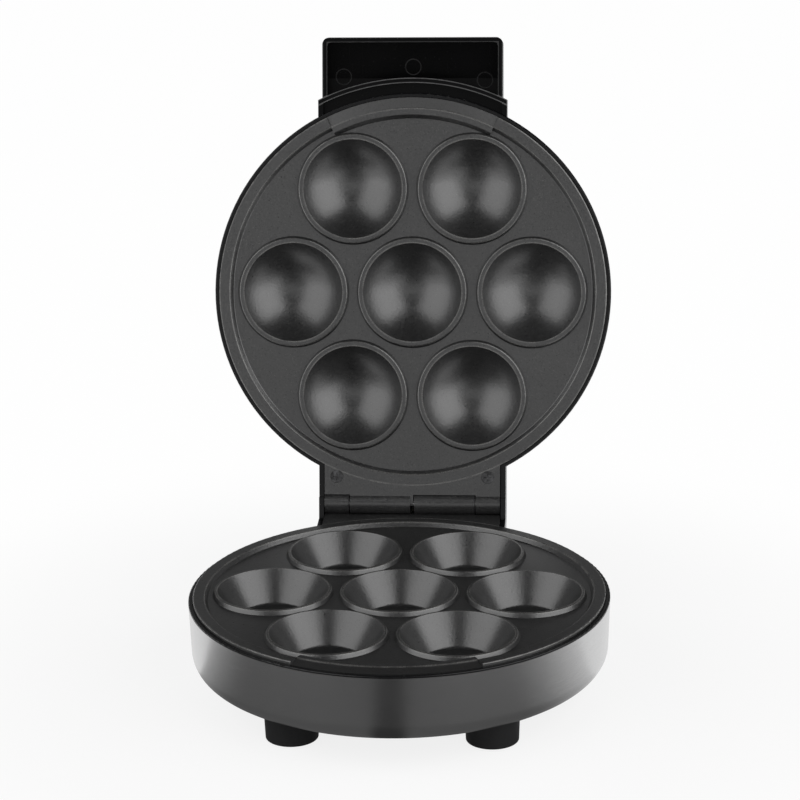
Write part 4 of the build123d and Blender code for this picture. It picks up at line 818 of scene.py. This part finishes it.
@dataclass(frozen=True)
class LampGlass(Finish):
    """A small glass envelope with a dull deposit."""

    clear: Colour = (0.92, 0.86, 0.80)
    deposit: Colour = (0.35, 0.33, 0.30)
    roughness: float = 0.03
    clearness: float = 0.85
    refraction: float = 1.5
    film: Grain = Grain(500.0)
    film_spread: Pair = (0.45, 0.9)
    film_rough: float = 0.12

    def shade(self, bench: Bench) -> None:
        """Spread a faint deposit over clear glass.

        Args:
            bench: The material's node tree.
        """
        film = bench.noise(self.film)
        bench.dress(Base_Color=bench.tint(film.step(*self.film_spread), self.clear, self.deposit),
                    Roughness=film * self.film_rough + self.roughness, Transmission_Weight=self.clearness,
                    IOR=self.refraction)


@dataclass(frozen=True)
class MouldedCeramic(Finish):
    """Cream heat-resistant moulding with a dry, pitted surface."""

    dark: Colour = (0.62, 0.58, 0.48)
    light: Colour = (0.82, 0.79, 0.70)
    pitted: Colour = (0.4, 0.37, 0.3)
    roughness: float = 0.5
    pit_scale: float = 1100.0
    pit_size: Pair = (0.22, 0.1)
    pit_share: float = 0.4
    mottle: Grain = Grain(150.0)
    mottle_rough: float = 0.15
    depth: float = 0.00005

    def shade(self, bench: Bench) -> None:
        """Pit and mottle the moulding.

        Args:
            bench: The material's node tree.
        """
        pits = bench.cells(self.pit_scale).step(*self.pit_size)
        tone = bench.noise(self.mottle)
        colour = bench.tint(pits * self.pit_share, bench.tint(tone, self.dark, self.light), self.pitted)
        bench.dress(Base_Color=colour, Roughness=tone * self.mottle_rough + self.roughness)
        bench.relief(1.0 - pits, self.depth)


@dataclass(frozen=True)
class FlexibleSleeve(Finish):
    """Black ribbed flexible sleeve; the ribs follow the sleeve through its own map."""

    dark: Colour = (0.010, 0.010, 0.010)
    light: Colour = (0.030, 0.030, 0.031)
    roughness: float = 0.42
    ribs: int = 26
    grain: Grain = Grain(1600.0, 2.0)
    grain_rough: float = 0.12
    tone_mix: Pair = (0.7, 0.3)
    relief_mix: Pair = (0.8, 0.2)
    depth: float = 0.0001

    def shade(self, bench: Bench) -> None:
        """Paint shade between the ribs and lighten their crests; the ribs are counted along the sleeve's map.

        Args:
            bench: The material's node tree.
        """
        _, along, _ = bench.split(bench.node("ShaderNodeTexCoord").outputs["UV"])
        rib = (along * (2.0 * math.pi * self.ribs)).wave()
        grain = bench.noise(self.grain)
        # Painted shade: the colour darkens between the ribs and lightens on their crests.
        bench.dress(Base_Color=bench.tint(weigh(self.tone_mix, rib, grain), self.dark, self.light),
                    Roughness=grain * self.grain_rough + self.roughness)
        bench.relief(weigh(self.relief_mix, rib, grain), self.depth)


class Surface:
    """Meshes worked out as grids of points with numpy."""

    @staticmethod
    def tube(path: np.ndarray, radius: float, around: int) -> tuple[np.ndarray, np.ndarray, np.ndarray]:
        """Carry a circle along a path and close both ends.

        The path p(t) has tangent T, side vector S = X (the path lies in a plane square to X) and second side
        vector B = T x S. A point of the surface is p(t) + radius * (cos(a) * S + sin(a) * B). Each end is
        closed by a fan to the path's own end point.

        Args:
            path: Points of the middle line, one row each, in metres.
            radius: The tube's radius in metres.
            around: How many points go round it.

        Returns:
            The vertices, the quads and each vertex's (round, along) map from 0 to 1.
        """
        tangent = np.gradient(path, axis=0)
        tangent /= np.linalg.norm(tangent, axis=1, keepdims=True)
        side = np.tile([1.0, 0.0, 0.0], (len(path), 1))
        other = np.cross(tangent, side)
        angle = np.linspace(0.0, 2.0 * math.pi, around, endpoint=False)
        cosine, sine = np.cos(angle)[None, :, None], np.sin(angle)[None, :, None]
        ring = cosine * side[:, None, :] + sine * other[:, None, :]
        body = path[:, None, :] + radius * ring
        points = np.concatenate([body.reshape(-1, 3), path[[0, -1]]])
        row = np.arange(len(path) - 1)[:, None] * around
        col = np.arange(around)[None, :]
        after = (col + 1) % around
        quads = np.stack([row + col, row + after, row + around + after, row + around + col], axis=-1)
        first, last = len(path) * around, len(path) * around + 1
        end = (len(path) - 1) * around
        caps = np.concatenate([
            np.stack([np.full(around, first), after[0], col[0], col[0]], axis=-1),
            np.stack([np.full(around, last), end + col[0], end + after[0], end + after[0]], axis=-1)])
        step = np.concatenate([[0.0], np.cumsum(np.linalg.norm(np.diff(path, axis=0), axis=1))])
        grid = np.stack(np.meshgrid(angle / (2.0 * math.pi), step / step[-1]), axis=-1).reshape(-1, 2)
        faces = np.concatenate([quads.reshape(-1, 4), caps])
        return points, faces, np.concatenate([grid, [[0.5, 0.0], [0.5, 1.0]]])

    @staticmethod
    def mesh(name: str, points: np.ndarray, faces: np.ndarray,
             grid: np.ndarray | None = None) -> bpy.types.Object:
        """Put points and faces into a smooth-shaded object at the origin.

        Args:
            name: The piece's name.
            points: Vertices in metres in the shared frame.
            faces: Quads; one whose last two corners are the same is a triangle.
            grid: Each vertex's map coordinates, if it has any.

        Returns:
            The object.
        """
        data = bpy.data.meshes.new(name)
        triangle = faces[:, 2] == faces[:, 3]
        polygons = [row[:3] if flat else row for row, flat in zip(faces.tolist(), triangle.tolist())]
        data.from_pydata(points.tolist(), [], polygons)
        if grid is not None:
            corner = np.empty(len(data.loops), dtype=np.int64)
            data.loops.foreach_get("vertex_index", corner)
            data.uv_layers.new(name="along").data.foreach_set("uv", grid[corner].astype(np.float32).ravel())
        data.shade_smooth()
        data.update()
        made = bpy.data.objects.new(name, data)
        bpy.context.scene.collection.objects.link(made)
        return made


class Body(Enum):
    """The bodies that pieces ride on."""

    BASE = "base"
    LID = "lid"


def smooth_path(turns: np.ndarray, rounds: int = 5, count: int = 90) -> np.ndarray:
    """Round a line's corners by cutting them again and again, and space points evenly along it.

    Each round replaces a corner by two points, a quarter and three quarters along its runs, which tends to a
    smooth quadratic curve through the runs' middles.

    Args:
        turns: The line's corners, one row each.
        rounds: How often the corners are cut.
        count: How many points the result has.

    Returns:
        The points.
    """
    line = turns
    for _ in range(rounds):
        early = 0.75 * line[:-1] + 0.25 * line[1:]
        late = 0.25 * line[:-1] + 0.75 * line[1:]
        middle = np.stack([early, late], axis=1).reshape(-1, 3)
        line = np.concatenate([line[:1], middle[1:-1], line[-1:]])
    reach = np.concatenate([[0.0], np.cumsum(np.linalg.norm(np.diff(line, axis=0), axis=1))])
    at = np.linspace(0.0, reach[-1], count)
    return np.stack([np.interp(at, reach, line[:, k]) for k in range(3)], axis=1)


@dataclass(frozen=True)
class HingeSleeve:
    """The flexible sleeve that carries the lid's leads past the hinge.

    Its middle line lies in the plane x = 0 and is given by y and z, in metres.
    """

    radius: float = 0.0020
    around: int = 20
    route: tuple[Pair, ...] = (
        (0.033638, 0.0210), (0.040638, 0.0210), (0.041238, 0.0315), (0.048238, 0.0427),
        (0.056238, 0.0435), (0.064738, 0.0426))

    def build(self) -> None:
        """Build the sleeve and bend it between base and lid."""
        route = np.array([(0.0, y, z) for y, z in self.route])
        points, faces, grid = Surface.tube(smooth_path(route), self.radius, self.around)
        piece = Surface.mesh("hinge_sleeve_skin", points, faces, grid)
        piece.data.materials.append(FlexibleSleeve("sleeve_skin").material())
        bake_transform(piece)
        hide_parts("hinge_sleeve")
        log.info("built %s with %d points", piece.name, len(points))


class Dressing:
    """Puts a finish on every CAD node."""

    def __init__(self, nodes: dict[str, bpy.types.Object]) -> None:
        """Prepare the finishes.

        Args:
            nodes: The CAD nodes by name.
        """
        self.nodes = nodes
        up, rear = Vector((0.0, 0.0, 1.0)), Vector((0.0, 1.0, 0.0))
        band = Axes(Vector((0.0, LAYOUT.axis_y, 0.0)), up, rear)
        cups = Axes(Vector((0.0, LAYOUT.axis_y, LAYOUT.cup_face_z)), up, rear)
        lid_centre = LAYOUT.opened(0.0, 0.0, LAYOUT.lid_face_z)
        lid_inside = Axes(lid_centre, -LAYOUT.lid_up, LAYOUT.lid_rearward)
        lid_outside = Axes(lid_centre, LAYOUT.lid_up, LAYOUT.lid_rearward)
        self.finishes: dict[str, Finish] = {
            "housing": MouldedPlastic("black_moulding", roughness=0.22),
            "handle": TrayPlastic("handle_moulding", dark=(0.001, 0.001, 0.0011),
                                  light=(0.003, 0.003, 0.0032), roughness=0.19, gloss=0.12, axes=lid_inside),
            "foot": MouldedPlastic("foot_moulding", dark=(0.010, 0.010, 0.0105), light=(0.018, 0.018, 0.0185),
                                   roughness=0.34),
            "cover_plastic": MouldedPlastic("cover_moulding", roughness=0.38, texture=0.6),
            "pad_rubber": Rubber("pad_rubber"),
            "gland_rubber": Rubber("gland_rubber"),
            "base_band": BrushedSheet("brushed_band", band),
            "lid_cover": BrushedSheet("brushed_cover", lid_outside),
            "base_plate": NonStickCoating("cup_plate_coating", cups),
            "lid_plate": NonStickCoating("dome_plate_coating", lid_inside, hollow_rims=(0.0246, 0.0267)),
            "heater_steel": HeatTintedTube("heater_tube"),
            "clamp_steel": PlatedSteel("clamp_plating", roughness=0.26),
            "reflector_aluminium": RolledAluminium("reflector_sheet"),
            "fastener_steel": PlatedSteel("screw_plating"),
            "blackened_screw": PlatedSteel("dark_screw_plating", grey(0.05), (0.16, 0.16, 0.165), 0.24),
            "pin_steel": PlatedSteel("ground_pin", grey(0.5), grey(0.66), 0.12),
            "thermostat_body": PlatedSteel("thermostat_cap", (0.5, 0.49, 0.46), (0.7, 0.69, 0.66)),
            "fuse_case": PlatedSteel("fuse_case"),
            "terminal_ceramic": MouldedCeramic("terminal_moulding"),
            "lead_sleeving": WovenSleeving("lead_sleeving"),
            "sleeve": Rubber("sleeve_rubber"),
            "lens_red": TintedLens("red_lens"),
            "lens_green": TintedLens("green_lens", dark=(0.01, 0.16, 0.02), light=(0.03, 0.50, 0.08)),
            "lamp_glass": LampGlass("lamp_envelope"),
        }

    def apply(self, slots: dict[str, str]) -> None:
        """Give every node the finish of its own name, or else of its slot.

        Args:
            slots: Each node's material slot in the record.
        """
        made: dict[str, bpy.types.Material] = {}
        for name, node in sorted(self.nodes.items()):
            key = name if name in self.finishes else slots[name]
            if key not in made:
                made[key] = self.finishes[key].material()
            node.data.materials.clear()
            node.data.materials.append(made[key])
            log.info("finished %s with %s", name, key)


def in_radians(span: Pair) -> Pair:
    """A span of degrees in radians."""
    return math.radians(span[0]), math.radians(span[1])


@dataclass(frozen=True)
class Floor:
    """A wide level floor, near white to the camera; gloss sees it dark in front of the machine.

    Lengths are in metres and angles in degrees about the machine's axis, from straight ahead. A pair holds
    the values at which a smooth step gives 0 and 1.
    """

    half: float = 6.0
    dark: Colour = grey(0.90)
    light: Colour = grey(0.93)
    roughness: float = 0.5
    patches: Grain = Grain(3.0, 2.0)
    rear_start: Pair = (-0.001, 0.001)
    front_turn: float = 7.0
    front_span: Pair = (52.0, 118.0)
    front_tone: Colour = grey(0.11)
    rear_tone: Colour = grey(0.95)
    ahead_span: Pair = (8.0, 3.0)
    ahead_tone: Colour = grey(0.04)
    bright_span: Pair = (16.0, 32.0)
    bright_reach: Pair = (0.26, 0.38)
    near_glow: float = 0.84
    far_glow: float = 0.985
    glow_reach: Pair = (0.14, 0.34)

    def build(self) -> None:
        """Build the floor: lit as usual, whitened for the camera, and with a tone of its own for gloss."""
        corner = np.array([(-1.0, -1.0, 0.0), (1.0, -1.0, 0.0), (1.0, 1.0, 0.0), (-1.0, 1.0, 0.0)])
        floor = Surface.mesh("floor", self.half * corner, np.array([[0, 1, 2, 3]]))
        bench = Bench("pale_floor")
        bench.dress(Base_Color=bench.tint(bench.noise(self.patches), self.dark, self.light),
                    Roughness=self.roughness)
        x, y, _ = bench.split(bench.place())
        ahead = LAYOUT.axis_y - y
        reach = x.hypot(ahead)
        white = bench.node("ShaderNodeEmission", None, {"Color": (*WHITE, 1.0), "Strength": 1.0})
        mirrored = bench.node("ShaderNodeEmission", None,
                              {"Color": self._mirrored_tone(bench, x, ahead, reach), "Strength": 1.0})
        glow = reach.step(*self.glow_reach) * (self.far_glow - self.near_glow) + self.near_glow
        lit = bench.blend(bench.ray("Is Camera Ray") * glow, bench.shader.outputs[0], white.outputs[0])
        bench.fill(bench.output.inputs["Surface"],
                   bench.blend(bench.ray("Is Glossy Ray"), lit, mirrored.outputs[0]))
        floor.data.materials.append(bench.material)

    def _mirrored_tone(self, bench: Bench, x: Signal, ahead: Signal, reach: Signal) -> bpy.types.NodeSocket:
        """Work out what gloss sees: dark in front, darkest straight ahead, bright far out and behind.

        Args:
            bench: The floor's node tree.
            x: How far a place lies across.
            ahead: How far it lies in front of the machine's axis.
            reach: Its distance from that axis.

        Returns:
            The tone.
        """
        turn = (x / ahead).math("ARCTANGENT")
        behind = (ahead * -1.0).step(*self.rear_start)
        off_front = abs(turn + math.radians(self.front_turn)) * (1.0 - behind) + behind * math.pi
        tone = bench.tint(off_front.step(*in_radians(self.front_span)), self.front_tone, self.rear_tone)
        tone = bench.tint(abs(turn).step(*in_radians(self.ahead_span)), tone, self.ahead_tone)
        bright = off_front.step(*in_radians(self.bright_span)) * reach.step(*self.bright_reach)
        return bench.tint(bright, tone, WHITE)


@dataclass(frozen=True)
class Surround:
    """White to the camera and dim to matt surfaces; gloss sees it dark, with a glow in front and one behind.

    A pair holds the values of a direction's rearward or upward part at which a glow starts and is full.
    """

    strength: float = 0.25
    dark: Colour = grey(0.03)
    front_way: Pair = (-0.75, -0.95)
    front_height: Pair = (0.42, 0.22)
    front_glow: float = 0.6
    rear_way: Pair = (-0.2, 0.6)
    rear_height: Pair = (0.75, 0.25)
    rear_glow: float = 0.17

    def build(self) -> None:
        """Build the world's nodes."""
        world = bpy.data.worlds.new("surround")
        world.use_nodes = True
        bpy.context.scene.world = world
        board = Board(world.node_tree)
        output = board.node("ShaderNodeOutputWorld")
        _, rearward, upward = board.split(board.node("ShaderNodeTexCoord").outputs["Generated"])
        front = rearward.step(*self.front_way) * upward.step(*self.front_height)
        behind = rearward.step(*self.rear_way) * upward.step(*self.rear_height)
        tone = board.tint(front * self.front_glow + behind * self.rear_glow, self.dark, WHITE)
        matt, glossy, seen = (
            board.node("ShaderNodeBackground", None, {"Color": colour, "Strength": strength}).outputs[0]
            for colour, strength in (((*WHITE, 1.0), self.strength), (tone, 1.0), ((*WHITE, 1.0), 1.0)))
        unseen = board.blend(board.ray("Is Glossy Ray"), matt, glossy)
        direct = board.ray("Is Camera Ray", "Is Transmission Ray")
        board.fill(output.inputs[0], board.blend(direct, unseen, seen))


@dataclass(frozen=True)
class Panels:
    """Two soft rectangular lamps, front left and front right, in metres, degrees and watts."""

    turn_deg: float = 61.0
    far: float = 1.5
    up: float = 0.85
    width: float = 2.2
    height: float = 2.0
    power: float = 24.0
    right_excess: float = 0.13
    aim_height: float = 0.12

    def build(self) -> None:
        """Build the lamps and aim them at the machine."""
        turn = math.radians(self.turn_deg)
        aside, ahead = self.far * math.sin(turn), self.far * math.cos(turn)
        aim = Vector((0.0, LAYOUT.axis_y, self.aim_height))
        for side, name in ((-1.0, "left_panel"), (1.0, "right_panel")):
            data = bpy.data.lights.new(name, "AREA")
            data.shape = "RECTANGLE"
            data.size, data.size_y = self.width, self.height
            data.energy = self.power * (1.0 + side * self.right_excess)
            lamp = bpy.data.objects.new(name, data)
            lamp.location = (side * aside, LAYOUT.axis_y - ahead, self.up)
            lamp.rotation_euler = (aim - lamp.location).to_track_quat("-Z", "Y").to_euler()
            bpy.context.scene.collection.objects.link(lamp)


@dataclass(frozen=True)
class Viewpoint:
    """The camera, at the place, angle and roll that the photograph was taken from."""

    place: Triple = (0.09268, -1.34175, 0.56674)
    azimuth_deg: float = 3.996
    elevation_deg: float = 18.08
    roll_deg: float = -0.953
    lens_mm: float = 135.3
    sensor_mm: float = 36.0

    def build(self) -> None:
        """Build the camera and make it the scene's."""
        turn, lift, roll = (math.radians(v) for v in (self.azimuth_deg, self.elevation_deg, self.roll_deg))
        back = Vector((math.sin(turn) * math.cos(lift), -math.cos(turn) * math.cos(lift), math.sin(lift)))
        level = Vector((math.cos(turn), math.sin(turn), 0.0))
        upright = back.cross(level)
        across = level * math.cos(roll) + upright * math.sin(roll)
        upward = upright * math.cos(roll) - level * math.sin(roll)
        data = bpy.data.cameras.new("camera")
        data.sensor_width = self.sensor_mm
        data.lens = self.lens_mm
        camera = bpy.data.objects.new("camera", data)
        turned = Matrix((across, upward, back)).transposed().to_4x4()
        camera.matrix_world = Matrix.Translation(self.place) @ turned
        bpy.context.scene.collection.objects.link(camera)
        bpy.context.scene.camera = camera


@dataclass(frozen=True)
class Studio:
    """A plain pale floor, the surround, soft light and the camera."""

    floor: Floor = Floor()
    surround: Surround = Surround()
    panels: Panels = Panels()
    viewpoint: Viewpoint = Viewpoint()

    def build(self) -> None:
        """Set the view transform and build every part of the studio."""
        bpy.context.scene.view_settings.view_transform = "Standard"
        for part in (self.floor, self.surround, self.panels, self.viewpoint):
            part.build()


def main() -> None:
    """Dress the machine, build its flexible sleeve, then the studio round it."""
    logging.basicConfig(level=logging.INFO)
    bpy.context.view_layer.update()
    slots = {part["node"]: part["material_slot"] for part in frame["record"]["subparts"]}
    Dressing(frame["nodes"]).apply(slots)
    HingeSleeve().build()
    Studio().build()


if __name__ == "__main__":
    main()
